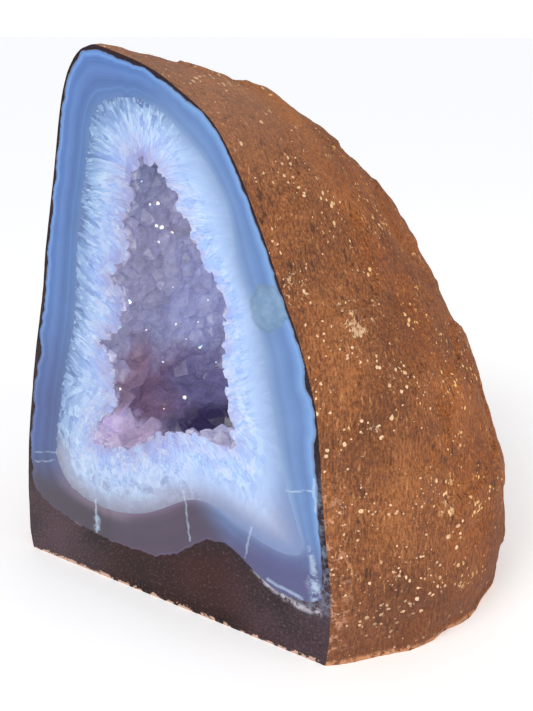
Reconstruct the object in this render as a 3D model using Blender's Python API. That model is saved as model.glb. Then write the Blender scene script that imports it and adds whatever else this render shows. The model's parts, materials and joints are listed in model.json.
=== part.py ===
"""A geode half with a sawn front and a sawn base, standing upright.

Three bodies, nested: the rock that the geode grew in, the agate that lines the rock, and the
crust of quartz and amethyst crystals that lines the agate. The saw cut all three off flush at
the front, so the hollow is open there, and cut the rock off flat below.

The shapes are drawn in the saw's frame: x runs along the sawn face, y runs back from it and z
runs up from the base. At the end everything moves so that the origin lies at the middle of the
base's bounding box. Metres, +Z up.
"""

import bisect
import math
import random

import bmesh
import bpy
from mathutils import Matrix, Vector, noise

# Driving dimensions, in metres
HEIGHT = 0.1670
GAP = 0.0003
ORIGIN_IN_SAW_FRAME = (0.0067, 0.0655, 0.0)

# The skin's lumps: (height of a lump, its width across)
LUMPS = ((0.0014, 0.040), (0.0015, 0.017))
PIT_DEPTH = 0.0022
PIT_WIDTH = 0.012
PIT_LEVEL = 0.25
PIT_NOISE_OFFSET = (7.3, 1.9, 4.1)

# Lumps push away from a line inside the rock: its (y, z), and how far it follows x
LUMP_CORE = (0.040, 0.060)
LUMP_CORE_FOLLOWS_X = 0.30
LUMP_SHARE_AT_FACE = 0.20
LUMP_FADE_REACH = 0.010

# Behind the face the left side stands out by this share of what the right side does
LEFT_SIDE_SHARE = 0.60

# Outlines on the sawn face: (height, left edge, right edge), from the bottom up
ROCK_OUTLINE = (
    (-0.030, -0.0500, 0.0490),
    (0.000, -0.0580, 0.0570),
    (0.023, -0.0570, 0.0580),
    (0.050, -0.0525, 0.0550),
    (0.080, -0.0450, 0.0520),
    (0.095, -0.0405, 0.0480),
    (0.110, -0.0370, 0.0420),
    (0.125, -0.0330, 0.0360),
    (0.140, -0.0290, 0.0290),
    (0.150, -0.0264, 0.0224),
    (0.157, -0.0239, 0.0132),
    (0.162, -0.0211, 0.0042),
    (0.1658, -0.0172, -0.0075),
    (HEIGHT, -0.0131, -0.0129),
)
AGATE_OUTLINE = (
    (0.0155, -0.0160, -0.0140),
    (0.0165, -0.0280, 0.0040),
    (0.0185, -0.0400, 0.0420),
    (0.0215, -0.0470, 0.0535),
    (0.0270, -0.0525, 0.0550),
    (0.0360, -0.0530, 0.0548),
    (0.0500, -0.0503, 0.0530),
    (0.0800, -0.0428, 0.0500),
    (0.0950, -0.0383, 0.0462),
    (0.1100, -0.0348, 0.0402),
    (0.1250, -0.0308, 0.0343),
    (0.1400, -0.0267, 0.0272),
    (0.1500, -0.0240, 0.0200),
    (0.1560, -0.0214, 0.0100),
    (0.1601, -0.0184, 0.0010),
    (0.1630, -0.0152, -0.0080),
    (0.1639, -0.0127, -0.0123),
)
QUARTZ_OUTLINE = (
    (0.0275, -0.0230, -0.0190),
    (0.0290, -0.0310, 0.0000),
    (0.0310, -0.0355, 0.0280),
    (0.0330, -0.0380, 0.0440),
    (0.0365, -0.0403, 0.0488),
    (0.0420, -0.0415, 0.0478),
    (0.0540, -0.0395, 0.0440),
    (0.0720, -0.0345, 0.0405),
    (0.0850, -0.0300, 0.0380),
    (0.1000, -0.0265, 0.0350),
    (0.1150, -0.0240, 0.0295),
    (0.1290, -0.0205, 0.0265),
    (0.1400, -0.0175, 0.0205),
    (0.1480, -0.0155, 0.0120),
    (0.1525, -0.0125, 0.0060),
    (0.1548, -0.0050, -0.0010),
)
HOLLOW_OUTLINE = (
    (0.0445, -0.0215, -0.0195),
    (0.0465, -0.0285, -0.0100),
    (0.0500, -0.0300, -0.0050),
    (0.0550, -0.0275, 0.0010),
    (0.0585, -0.0250, 0.0100),
    (0.0610, -0.0225, 0.0210),
    (0.0640, -0.0195, 0.0285),
    (0.0700, -0.0170, 0.0290),
    (0.0780, -0.0180, 0.0280),
    (0.0850, -0.0200, 0.0272),
    (0.0950, -0.0150, 0.0278),
    (0.1020, -0.0135, 0.0282),
    (0.1100, -0.0140, 0.0250),
    (0.1220, -0.0098, 0.0170),
    (0.1320, -0.0060, 0.0112),
    (0.1390, -0.0035, 0.0060),
    (0.1420, 0.0000, 0.0020),
)

# Sections from above: (height, half the width at the widest place, distance from face to back)
ROCK_SECTIONS = (
    (-0.030, 0.0800, 0.110),
    (0.000, 0.0885, 0.130),
    (0.018, 0.0892, 0.129),
    (0.036, 0.0867, 0.126),
    (0.054, 0.0820, 0.121),
    (0.072, 0.0740, 0.117),
    (0.090, 0.0612, 0.114),
    (0.108, 0.0510, 0.111),
    (0.126, 0.0415, 0.098),
    (0.144, 0.0308, 0.071),
    (0.156, 0.0215, 0.048),
    (0.1625, 0.0130, 0.028),
    (HEIGHT, 0.0035, 0.006),
)
AGATE_SECTIONS = (
    (0.0155, 0.0080, 0.030),
    (0.0190, 0.0500, 0.074),
    (0.0270, 0.0720, 0.106),
    (0.0400, 0.0770, 0.115),
    (0.0540, 0.0740, 0.112),
    (0.0720, 0.0665, 0.107),
    (0.0900, 0.0550, 0.104),
    (0.1080, 0.0445, 0.101),
    (0.1260, 0.0370, 0.090),
    (0.1440, 0.0270, 0.065),
    (0.1550, 0.0155, 0.035),
    (0.1639, 0.0030, 0.003),
)
QUARTZ_SECTIONS = (
    (0.0275, 0.0060, 0.022),
    (0.0330, 0.0520, 0.080),
    (0.0420, 0.0620, 0.096),
    (0.0540, 0.0620, 0.100),
    (0.0720, 0.0555, 0.096),
    (0.0900, 0.0450, 0.093),
    (0.1080, 0.0350, 0.089),
    (0.1260, 0.0270, 0.075),
    (0.1440, 0.0165, 0.046),
    (0.1548, 0.0030, 0.005),
)
HOLLOW_SECTIONS = (
    (0.0445, 0.0040, 0.018),
    (0.0500, 0.0240, 0.058),
    (0.0640, 0.0370, 0.080),
    (0.0860, 0.0310, 0.076),
    (0.1050, 0.0240, 0.066),
    (0.1240, 0.0165, 0.050),
    (0.1380, 0.0080, 0.026),
    (0.1420, 0.0020, 0.004),
)

# Where the rock swells up below the agate and the quartz: (x, width, height of the swelling)
AGATE_SWELL = (0.0215, 0.0140, 0.0130)
QUARTZ_SWELL = (0.0160, 0.0175, 0.0145)
SWELL_FULL_BELOW = 0.024
SWELL_NONE_ABOVE = 0.064

# Mesh fineness: the skin's subdivisions, and (segments round, rings up) of the inner shells
ROCK_SUBDIVISIONS = 5
ROCK_KEPT_SHARE = 0.65
AGATE_FINENESS = (16, 26)
QUARTZ_FINENESS = (16, 24)
HOLLOW_FINENESS = (16, 16)
LENGTH_STEPS = 400

# Points nearer to the sawn face or to a sphere's pole than this are put on it
ON_FACE = 1e-7

# Crystal points on the hollow's wall
CRYSTAL_SEED = 7
CRYSTAL_TRIES = 6000
CRYSTAL_RADII = (0.0050, 0.0084)
CRYSTAL_SPACING = 1.74
CRYSTAL_SHARE_AT_LIP = 0.55
CRYSTAL_FULL_DEPTH = 0.016
CRYSTAL_SHARE_AT_TOP = 0.70
CRYSTAL_SMALL_ABOVE = 0.115
CRYSTAL_TILT = math.radians(24)
CRYSTAL_ROOT = 0.0055
CRYSTAL_ROOT_TAPER = 0.90
CRYSTAL_PRISM = (0.0004, 0.0026)
CRYSTAL_POINT = (0.95, 1.25)
CRYSTAL_TIP_SHIFT = 0.28
CRYSTAL_SQUEEZE = (0.82, 1.18)
CRYSTAL_FRONT_LIMIT = -0.002

SAW_BLOCK = 0.40

# Finishes: colour, roughness, metallic
ROCK_FINISH = ((0.29, 0.115, 0.045, 1.0), 0.85, 0.0)
AGATE_FINISH = ((0.15, 0.27, 0.56, 1.0), 0.18, 0.0)
CRYSTAL_FINISH = ((0.48, 0.46, 0.72, 1.0), 0.12, 0.0)


def read_table(rows, height, column):
    """A smooth value from a table of rows that start with a height."""
    last = len(rows) - 1
    if height <= rows[0][0]:
        return rows[0][column]
    if height >= rows[last][0]:
        return rows[last][column]
    index = next(i for i in range(last) if height <= rows[i + 1][0])
    below, above = rows[index], rows[index + 1]
    span = above[0] - below[0]
    share = (height - below[0]) / span

    def slope(at):
        before, after = rows[max(at - 1, 0)], rows[min(at + 1, last)]
        return (after[column] - before[column]) / (after[0] - before[0])

    square, cube = share**2, share**3
    return (
        (2 * cube - 3 * square + 1) * below[column]
        + (cube - 2 * square + share) * span * slope(index)
        + (3 * square - 2 * cube) * above[column]
        + (cube - square) * span * slope(index + 1)
    )


def even_heights(outline):
    """Heights at even steps of length along an outline, from its bottom to its top."""
    bottom, top = outline[0][0], outline[-1][0]
    step = (top - bottom) / LENGTH_STEPS
    heights = [bottom + step * i for i in range(LENGTH_STEPS + 1)]
    widths = [read_table(outline, h, 2) - read_table(outline, h, 1) for h in heights]
    lengths = [0.0]
    for low, high in zip(widths, widths[1:]):
        lengths.append(lengths[-1] + math.hypot(step, (high - low) / 2))
    return heights, [length / lengths[-1] for length in lengths]


def shell_point(outline, sections, even, direction):
    """The point of a nested shell that a unit sphere's point stands for.

    Each level of a shell is two half ellipses, left and right, that cross the sawn face at the
    outline's two edges and reach the section's back. The sphere's front half stands for what
    lies before the face.
    """
    heights, lengths = even
    share = math.acos(max(-1.0, min(1.0, -direction.z))) / math.pi
    index = min(bisect.bisect_left(lengths, share), LENGTH_STEPS)
    height = heights[index]
    if index > 0:
        span = lengths[index] - lengths[index - 1]
        height -= (heights[1] - heights[0]) * (lengths[index] - share) / span
    left = read_table(outline, height, 1)
    right = read_table(outline, height, 2)
    widest = read_table(sections, height, 1)
    back = read_table(sections, height, 2)
    half = (right - left) / 2
    if direction.x < 0:
        widest = half + LEFT_SIDE_SHARE * (widest - half)
    widest = max(widest, half)
    ahead = math.sqrt(1 - (half / widest) ** 2)
    reach = back / (1 + ahead)
    if math.hypot(direction.x, direction.y) < ON_FACE:
        return Vector(((left + right) / 2, reach * ahead, height))
    at_face = -math.asin(ahead)
    turn = math.atan2(direction.y, abs(direction.x))
    quarter = math.pi / 2
    room = quarter - at_face if turn > 0 else quarter + at_face
    turn = at_face + room * turn / quarter
    side = math.copysign(math.cos(turn), direction.x)
    point = Vector(((left + right) / 2 + side * widest, reach * (ahead + math.sin(turn)), height))
    if abs(point.y) < ON_FACE:
        point.y = 0.0
    return point


def lumps(point):
    """How far the skin stands out at a point, from broad lumps, small lumps and pits."""
    out = sum(tall * noise.noise(point / wide) for tall, wide in LUMPS)
    pit = noise.noise(point / PIT_WIDTH + Vector(PIT_NOISE_OFFSET))
    return out - PIT_DEPTH * max(0.0, pit - PIT_LEVEL) / (1 - PIT_LEVEL)


def lumpy(point):
    """A point of the skin moved in or out by its lumps, which fade towards the sawn face."""
    core = Vector((point.x * LUMP_CORE_FOLLOWS_X, *LUMP_CORE))
    share = min(1.0, LUMP_SHARE_AT_FACE + max(0.0, point.y) / LUMP_FADE_REACH)
    return point + (point - core).normalized() * lumps(point) * share


def swell_up(point, swell):
    """A point of the agate or the quartz lifted where the rock swells up below it."""
    middle, width, tall = swell
    across = math.exp(-(((point.x - middle) / width) ** 2))
    fade = (SWELL_NONE_ABOVE - point.z) / (SWELL_NONE_ABOVE - SWELL_FULL_BELOW)
    return point + Vector((0, 0, tall * across * max(0.0, min(1.0, fade))))


def new_object(name, bm, collection):
    """A mesh object made from a bmesh, in its collection."""
    mesh = bpy.data.meshes.new(name)
    bm.to_mesh(mesh)
    bm.free()
    obj = bpy.data.objects.new(name, mesh)
    collection.objects.link(obj)
    return obj


def shape_shell(bm, outline, sections, shape):
    """Moves a unit sphere's points to a shell's shape."""
    even = even_heights(outline)
    for vert in bm.verts:
        vert.co = shape(shell_point(outline, sections, even, vert.co.normalized()))


def make_rock(collection):
    """The rock's outside as one closed lump, with its lumps and pits."""
    bm = bmesh.new()
    bmesh.ops.create_icosphere(bm, subdivisions=ROCK_SUBDIVISIONS, radius=1)
    shape_shell(bm, ROCK_OUTLINE, ROCK_SECTIONS, lumpy)
    rock = new_object("rock_matrix", bm, collection)
    rock.modifiers.new("fewer facets", "DECIMATE").ratio = ROCK_KEPT_SHARE
    return rock


def make_shell(name, outline, sections, fineness, collection, swell=None, grow=0.0):
    """A closed lump with an inner shell's outside, made larger by grow."""
    bm = bmesh.new()
    bmesh.ops.create_uvsphere(bm, u_segments=fineness[0], v_segments=fineness[1], radius=1)
    shape_shell(bm, outline, sections, lambda point: swell_up(point, swell) if swell else point)
    bmesh.ops.triangulate(bm, faces=bm.faces, quad_method="FIXED")
    bm.normal_update()
    for vert in bm.verts:
        vert.co += vert.normal * grow
    return new_object(name, bm, collection)


def make_block(name, centre, collection):
    """A large block that stands for what the saw takes off."""
    bm = bmesh.new()
    bmesh.ops.create_cube(bm, size=SAW_BLOCK)
    bmesh.ops.translate(bm, verts=bm.verts, vec=centre)
    return new_object(name, bm, collection)


def cut(obj, other, crosses_itself=False):
    """A Boolean modifier that takes one object away from another."""
    modifier = obj.modifiers.new(f"without {other.name}", "BOOLEAN")
    modifier.operation = "DIFFERENCE"
    modifier.object = other
    modifier.use_self = crosses_itself


def keep_largest_body(obj):
    """Applies the modifiers and drops the small bodies that they leave beside the main one."""
    graph = bpy.context.evaluated_depsgraph_get()
    bm = bmesh.new()
    bm.from_object(obj, graph)
    left = set(bm.verts)
    bodies = []
    while left:
        body, edge = set(), {left.pop()}
        while edge:
            body |= edge
            edge = {e.other_vert(v) for v in edge for e in v.link_edges} - body
        left -= body
        bodies.append(body)
    main = max(bodies, key=len)
    bmesh.ops.delete(bm, geom=[v for v in bm.verts if v not in main], context="VERTS")
    obj.modifiers.clear()
    bm.to_mesh(obj.data)
    bm.free()


def crystal_point(dice, radius):
    """One quartz point along +Z as a bmesh: a six-sided prism with a six-sided pyramid."""
    bm = bmesh.new()
    prism = dice.uniform(*CRYSTAL_PRISM)
    depth = CRYSTAL_ROOT + prism
    root_radius = radius * CRYSTAL_ROOT_TAPER
    bmesh.ops.create_cone(
        bm, cap_ends=True, segments=6, radius1=root_radius, radius2=radius, depth=depth
    )
    bmesh.ops.translate(bm, verts=bm.verts, vec=(0, 0, depth / 2 - CRYSTAL_ROOT))
    top = max(bm.faces, key=lambda face: face.calc_center_median().z)
    pyramid = radius * dice.uniform(*CRYSTAL_POINT)
    tip = bmesh.ops.poke(bm, faces=[top], offset=pyramid)["verts"][0]
    tip.co.x += radius * dice.uniform(-CRYSTAL_TIP_SHIFT, CRYSTAL_TIP_SHIFT)
    tip.co.y += radius * dice.uniform(-CRYSTAL_TIP_SHIFT, CRYSTAL_TIP_SHIFT)
    bmesh.ops.scale(bm, verts=bm.verts, vec=(dice.uniform(*CRYSTAL_SQUEEZE), 1, 1))
    return bm


def size_share(spot):
    """How large crystals are at a place on the wall: smaller at the lip and under the top."""
    share = CRYSTAL_SHARE_AT_LIP + max(0.0, spot.y) / CRYSTAL_FULL_DEPTH
    most = CRYSTAL_SHARE_AT_TOP if spot.z > CRYSTAL_SMALL_ABOVE else 1.0
    return min(share, most)


def wall_places(dice, wall):
    """Places on the hollow's wall with the way into the hollow there, spread by crystal size."""
    faces = [face for face in wall.data.polygons if face.center.y > CRYSTAL_FRONT_LIMIT]
    faces.sort(key=lambda face: tuple(face.center))
    areas = [face.area for face in faces]
    places = []
    for _ in range(CRYSTAL_TRIES):
        face = dice.choices(faces, areas)[0]
        corners = sorted((wall.data.vertices[i].co for i in face.vertices), key=tuple)
        shares = [dice.random() for _ in corners]
        spot = sum((c * s for c, s in zip(corners, shares)), Vector()) / sum(shares)
        radius = dice.uniform(*CRYSTAL_RADII) * size_share(spot)
        if all(
            (spot - other).length > CRYSTAL_SPACING * (radius + size) / 2
            for other, _, size in places
        ):
            places.append((spot, -face.normal, radius))
    return places


def make_crystals(wall, collection):
    """All the crystal points in one mesh, each rooted in the hollow's wall."""
    dice = random.Random(CRYSTAL_SEED)
    crystals = bmesh.new()
    for spot, inward, radius in wall_places(dice, wall):
        tilt_axis = Vector((dice.uniform(-1, 1), dice.uniform(-1, 1), dice.uniform(-1, 1)))
        axis = Matrix.Rotation(dice.uniform(0, CRYSTAL_TILT), 3, tilt_axis) @ inward
        turn = Matrix.Rotation(dice.uniform(0, math.pi / 3), 4, "Z")
        place = Matrix.Translation(spot) @ axis.to_track_quat("Z", "Y").to_matrix().to_4x4()
        point = crystal_point(dice, radius)
        bmesh.ops.transform(point, verts=point.verts, matrix=place @ turn)
        mesh = bpy.data.meshes.new("crystal point")
        point.to_mesh(mesh)
        point.free()
        crystals.from_mesh(mesh)
        bpy.data.meshes.remove(mesh)
    return new_object("crystal points", crystals, collection)


def give_finish(obj, name, finish):
    """A plain material with the piece's colour, roughness and metallic value."""
    colour, roughness, metallic = finish
    material = bpy.data.materials.new(name)
    material.use_nodes = True
    shader = material.node_tree.nodes["Principled BSDF"]
    shader.inputs["Base Color"].default_value = colour
    shader.inputs["Roughness"].default_value = roughness
    shader.inputs["Metallic"].default_value = metallic
    material.diffuse_color = colour
    obj.data.materials.append(material)


def start_empty():
    """The two collections, with nothing else in the scene."""
    for obj in list(bpy.data.objects):
        bpy.data.objects.remove(obj)
    geode = bpy.data.collections.new("Geode half")
    cutters = bpy.data.collections.new("Cutters")
    for collection in (geode, cutters):
        bpy.context.scene.collection.children.link(collection)
    return geode, cutters


def build():
    """The geode half: rock, agate lining and crystal crust."""
    geode, cutters = start_empty()
    half = SAW_BLOCK / 2
    front = make_block("in front of the saw cut", (0, -half, 0), cutters)
    below = make_block("below the base", (0, 0, -half), cutters)

    rock = make_rock(geode)
    agate_shape = (AGATE_OUTLINE, AGATE_SECTIONS, AGATE_FINENESS)
    quartz_shape = (QUARTZ_OUTLINE, QUARTZ_SECTIONS, QUARTZ_FINENESS)
    hollow_shape = (HOLLOW_OUTLINE, HOLLOW_SECTIONS, HOLLOW_FINENESS)
    rock_hollow = make_shell("rock hollow", *agate_shape, cutters, AGATE_SWELL, GAP)
    agate = make_shell("agate_lining", *agate_shape, geode, AGATE_SWELL)
    agate_hollow = make_shell("agate hollow", *quartz_shape, cutters, QUARTZ_SWELL, GAP)
    crust = make_shell("crystal_crust", *quartz_shape, geode, QUARTZ_SWELL)
    hollow = make_shell("hollow", *hollow_shape, cutters)
    crystals = make_crystals(hollow, cutters)

    cut(hollow, crystals, crosses_itself=True)
    keep_largest_body(hollow)
    for obj, inside in ((rock, rock_hollow), (agate, agate_hollow), (crust, hollow)):
        cut(obj, front)
        cut(obj, inside)
    cut(rock, below)
    keep_largest_body(crust)

    give_finish(rock, "Rock", ROCK_FINISH)
    give_finish(agate, "Agate", AGATE_FINISH)
    give_finish(crust, "Crystal", CRYSTAL_FINISH)

    for obj in (*geode.objects, *cutters.objects):
        obj.location = -Vector(ORIGIN_IN_SAW_FRAME)
    for cutter in cutters.objects:
        cutter.hide_render = True
        cutter.display_type = "WIRE"


build()
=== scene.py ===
"""Looks of a geode half that stands on a sawn base with its sawn, polished front open.

Three pieces stand for the three solids of the frame: the rock with its sandy skin, the banded
agate that lines it, and the crust of quartz that ends in crystal points round the hollow. Pale
crumbs sit on the skin. Outlines are drawn in the saw's frame, where x runs along the sawn face,
y runs back from it and z runs up from the base, and they move to the frame's origin at the end.
"""

import json
import logging
import math
import random
from collections.abc import Iterable, Sequence
from dataclasses import dataclass, field
from enum import Enum

import bmesh
import bpy
import numpy as np
from mathutils import Matrix, Vector, kdtree, noise
from mathutils.bvhtree import BVHTree

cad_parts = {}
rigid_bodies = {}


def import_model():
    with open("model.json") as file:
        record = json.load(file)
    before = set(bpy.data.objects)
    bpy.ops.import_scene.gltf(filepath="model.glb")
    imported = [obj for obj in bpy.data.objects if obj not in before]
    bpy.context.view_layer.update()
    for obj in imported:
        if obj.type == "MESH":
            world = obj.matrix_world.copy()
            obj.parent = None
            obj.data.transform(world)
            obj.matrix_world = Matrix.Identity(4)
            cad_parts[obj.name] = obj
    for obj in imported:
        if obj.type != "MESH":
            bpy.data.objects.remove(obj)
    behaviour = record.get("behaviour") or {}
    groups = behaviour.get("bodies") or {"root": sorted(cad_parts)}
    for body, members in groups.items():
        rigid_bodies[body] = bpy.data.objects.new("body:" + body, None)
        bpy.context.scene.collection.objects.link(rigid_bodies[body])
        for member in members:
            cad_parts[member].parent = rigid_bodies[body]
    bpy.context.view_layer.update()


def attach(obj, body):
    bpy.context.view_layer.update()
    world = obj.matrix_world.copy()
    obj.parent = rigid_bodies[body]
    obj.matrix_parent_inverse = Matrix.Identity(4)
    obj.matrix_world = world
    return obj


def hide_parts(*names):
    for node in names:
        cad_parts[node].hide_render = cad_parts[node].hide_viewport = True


LOG = logging.getLogger("geode")

Socket = bpy.types.NodeSocket
Place = Socket | Sequence[float]
Colour = tuple[float, float, float, float]
Table = tuple[tuple[float, float, float], ...]

MM = 0.001
ORIGIN_IN_SAW_FRAME = Vector((0.0067, 0.0655, 0.0))
PHOTO_SIZE = (533, 711)
LENGTH_STEPS = 400
ON_FACE = 1e-7
FACE_REACH = 0.01 * MM
SKIN_REACH = 0.02 * MM
NEVER_ZERO = 1e-9
QUARTZ_IOR = 1.54

# How far back the rings of each wall lie, in degrees: 0 on the sawn face, 90 at the pole behind it
AGATE_BACKS = (88, 75, 60, 45, 30, 20, 12, 7, 4, 2, 1, 0)
QUARTZ_BACKS = (88, 70, 50, 32, 20, 12, 7, 4, 2, 1, 0)
HOLLOW_BACKS = (0, 3, 7, 12, 18, 25, 33, 42, 52, 62, 74, 88)

# The upright lines that things lie round, foot and head, in millimetres of the saw's frame
LAYER_AXIS = ((3.0, 0.0, 45.0), (1.0, 0.0, 133.0))
LIP_AXIS = ((0.0, 66.0), (2.0, 133.0))
NEEDLE_AXIS = ((0.0, 0.0, 70.0), (1.0, 0.0, 133.0))

# Outlines on the sawn face: (height, left edge, right edge), from the bottom up
ROCK_OUTLINE: Table = (
    (-0.030, -0.0500, 0.0490),
    (0.000, -0.0580, 0.0570),
    (0.023, -0.0570, 0.0580),
    (0.050, -0.0525, 0.0550),
    (0.080, -0.0450, 0.0520),
    (0.095, -0.0405, 0.0480),
    (0.110, -0.0370, 0.0420),
    (0.125, -0.0330, 0.0360),
    (0.140, -0.0290, 0.0290),
    (0.150, -0.0264, 0.0224),
    (0.157, -0.0239, 0.0132),
    (0.162, -0.0211, 0.0042),
    (0.1658, -0.0172, -0.0075),
    (0.1670, -0.0131, -0.0129),
)
AGATE_OUTLINE: Table = (
    (0.0155, -0.0160, -0.0140),
    (0.0165, -0.0280, 0.0040),
    (0.0185, -0.0400, 0.0420),
    (0.0215, -0.0470, 0.0535),
    (0.0270, -0.0525, 0.0550),
    (0.0360, -0.0530, 0.0548),
    (0.0500, -0.0503, 0.0530),
    (0.0800, -0.0428, 0.0500),
    (0.0950, -0.0383, 0.0462),
    (0.1100, -0.0348, 0.0402),
    (0.1250, -0.0308, 0.0343),
    (0.1400, -0.0267, 0.0272),
    (0.1500, -0.0240, 0.0200),
    (0.1560, -0.0214, 0.0100),
    (0.1601, -0.0184, 0.0010),
    (0.1630, -0.0152, -0.0080),
    (0.1639, -0.0127, -0.0123),
)
QUARTZ_OUTLINE: Table = (
    (0.0275, -0.0230, -0.0190),
    (0.0290, -0.0310, 0.0000),
    (0.0310, -0.0355, 0.0280),
    (0.0330, -0.0380, 0.0440),
    (0.0365, -0.0403, 0.0488),
    (0.0420, -0.0415, 0.0478),
    (0.0540, -0.0395, 0.0440),
    (0.0720, -0.0345, 0.0405),
    (0.0850, -0.0300, 0.0380),
    (0.1000, -0.0265, 0.0350),
    (0.1150, -0.0240, 0.0295),
    (0.1290, -0.0205, 0.0265),
    (0.1400, -0.0175, 0.0205),
    (0.1480, -0.0155, 0.0120),
    (0.1525, -0.0125, 0.0060),
    (0.1548, -0.0050, -0.0010),
)
HOLLOW_OUTLINE: Table = (
    (0.0445, -0.0215, -0.0195),
    (0.0465, -0.0285, -0.0100),
    (0.0500, -0.0300, -0.0050),
    (0.0550, -0.0275, 0.0010),
    (0.0585, -0.0250, 0.0100),
    (0.0610, -0.0225, 0.0210),
    (0.0640, -0.0195, 0.0285),
    (0.0700, -0.0170, 0.0290),
    (0.0780, -0.0180, 0.0280),
    (0.0850, -0.0200, 0.0272),
    (0.0950, -0.0150, 0.0278),
    (0.1020, -0.0135, 0.0282),
    (0.1100, -0.0140, 0.0250),
    (0.1220, -0.0098, 0.0170),
    (0.1320, -0.0060, 0.0112),
    (0.1390, -0.0035, 0.0060),
    (0.1420, 0.0000, 0.0020),
)

# Sections from above: (height, half the width at the widest place, distance from face to back)
ROCK_SECTIONS: Table = (
    (-0.030, 0.0800, 0.110),
    (0.000, 0.0885, 0.130),
    (0.018, 0.0892, 0.129),
    (0.036, 0.0867, 0.126),
    (0.054, 0.0820, 0.121),
    (0.072, 0.0740, 0.117),
    (0.090, 0.0612, 0.114),
    (0.108, 0.0510, 0.111),
    (0.126, 0.0415, 0.098),
    (0.144, 0.0308, 0.071),
    (0.156, 0.0215, 0.048),
    (0.1625, 0.0130, 0.028),
    (0.1670, 0.0035, 0.006),
)
AGATE_SECTIONS: Table = (
    (0.0155, 0.0080, 0.030),
    (0.0190, 0.0500, 0.074),
    (0.0270, 0.0720, 0.106),
    (0.0400, 0.0770, 0.115),
    (0.0540, 0.0740, 0.112),
    (0.0720, 0.0665, 0.107),
    (0.0900, 0.0550, 0.104),
    (0.1080, 0.0445, 0.101),
    (0.1260, 0.0370, 0.090),
    (0.1440, 0.0270, 0.065),
    (0.1550, 0.0155, 0.035),
    (0.1639, 0.0030, 0.003),
)
QUARTZ_SECTIONS: Table = (
    (0.0275, 0.0060, 0.022),
    (0.0330, 0.0520, 0.080),
    (0.0420, 0.0620, 0.096),
    (0.0540, 0.0620, 0.100),
    (0.0720, 0.0555, 0.096),
    (0.0900, 0.0450, 0.093),
    (0.1080, 0.0350, 0.089),
    (0.1260, 0.0270, 0.075),
    (0.1440, 0.0165, 0.046),
    (0.1548, 0.0030, 0.005),
)
HOLLOW_SECTIONS: Table = (
    (0.0445, 0.0040, 0.018),
    (0.0500, 0.0240, 0.058),
    (0.0640, 0.0370, 0.080),
    (0.0860, 0.0310, 0.076),
    (0.1050, 0.0240, 0.066),
    (0.1240, 0.0165, 0.050),
    (0.1380, 0.0080, 0.026),
    (0.1420, 0.0020, 0.004),
)

# The lip of the hollow on the sawn face, in millimetres of the saw's frame
LIP = (
    (-0.3, 140.1), (-2.1, 138.4), (-3.3, 136.1), (-4.5, 132.5), (-4.1, 129.5), (-4.6, 127.3), (-7.1, 123.9),
    (-8.2, 121.5), (-7.0, 119.8), (-6.6, 117.6), (-6.0, 115.4), (-10.2, 110.9), (-13.9, 107.4), (-12.2, 104.6),
    (-10.3, 101.4), (-10.4, 97.0), (-11.3, 92.3), (-15.1, 89.3), (-20.9, 84.6), (-17.9, 83.3), (-16.0, 79.7),
    (-14.5, 75.7), (-16.1, 70.9), (-14.4, 68.0), (-17.2, 63.3), (-21.9, 59.4), (-25.6, 54.7), (-25.7, 50.5),
    (-20.1, 49.9), (-12.4, 50.9), (-7.2, 54.1), (-3.6, 56.7), (1.4, 60.0), (8.7, 62.6), (15.7, 63.3),
    (19.1, 62.2), (23.3, 62.7), (27.7, 61.3), (28.1, 65.8), (27.2, 70.2), (25.3, 74.3), (25.8, 80.4),
    (24.9, 86.1), (24.8, 91.8), (24.9, 97.4), (25.8, 103.1), (23.9, 108.7), (21.3, 112.6), (18.3, 116.2),
    (16.3, 120.4), (13.8, 126.8),
    (12.0, 128.9), (11.8, 131.8), (9.6, 132.9), (8.2, 134.9), (6.2, 137.3), (4.7, 139.2), (2.5, 139.7),
    (1.0, 141.1),
)


def paint(red: int, green: int, blue: int, light: float = 1.0) -> Colour:
    """Turns a colour as a screen shows it into the surface colour for a given light.

    Args:
        red: Red, 0 to 255.
        green: Green, 0 to 255.
        blue: Blue, 0 to 255.
        light: How much light falls there, where 1 shows a white surface as white.

    Returns:
        The linear colour with full alpha.
    """

    def linear(value: int) -> float:
        """The linear share of one channel."""
        share = value / 255
        return share / 12.92 if share <= 0.04045 else ((share + 0.055) / 1.055) ** 2.4

    r, g, b = (min(0.95, linear(value) / light) for value in (red, green, blue))
    return (r, g, b, 1.0)


def read_table(rows: Table, heights: np.ndarray, column: int) -> np.ndarray:
    """Reads a smooth curve through a table at many heights.

    Args:
        rows: The table, whose rows start with a height.
        heights: Where to read it.
        column: Which column to read.

    Returns:
        One value for each height.
    """
    table = np.array(rows)
    level, value = table[:, 0], table[:, column]
    last = len(rows) - 1
    before = np.maximum(np.arange(last + 1) - 1, 0)
    after = np.minimum(np.arange(last + 1) + 1, last)
    slope = (value[after] - value[before]) / (level[after] - level[before])
    inside = np.clip(heights, level[0], level[-1])
    low = np.clip(np.searchsorted(level, inside) - 1, 0, last - 1)
    span = level[low + 1] - level[low]
    share = (inside - level[low]) / span
    square, cube = share**2, share**3
    return (
        (2 * cube - 3 * square + 1) * value[low]
        + (cube - 2 * square + share) * span * slope[low]
        + (3 * square - 2 * cube) * value[low + 1]
        + (cube - square) * span * slope[low + 1]
    )


def smooth(value: np.ndarray, low: float, high: float) -> np.ndarray:
    """A soft step from 0 at low to 1 at high."""
    share = np.clip((value - low) / (high - low), 0.0, 1.0)
    return share * share * (3 - 2 * share)


def noise_at(points: np.ndarray, size: float, offset: float | np.ndarray = 0.0) -> np.ndarray:
    """Smooth noise between -1 and 1 at many points, with lumps of a given size."""
    scaled = points / size + offset
    return np.array([noise.noise(Vector(p)) for p in scaled])


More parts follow.
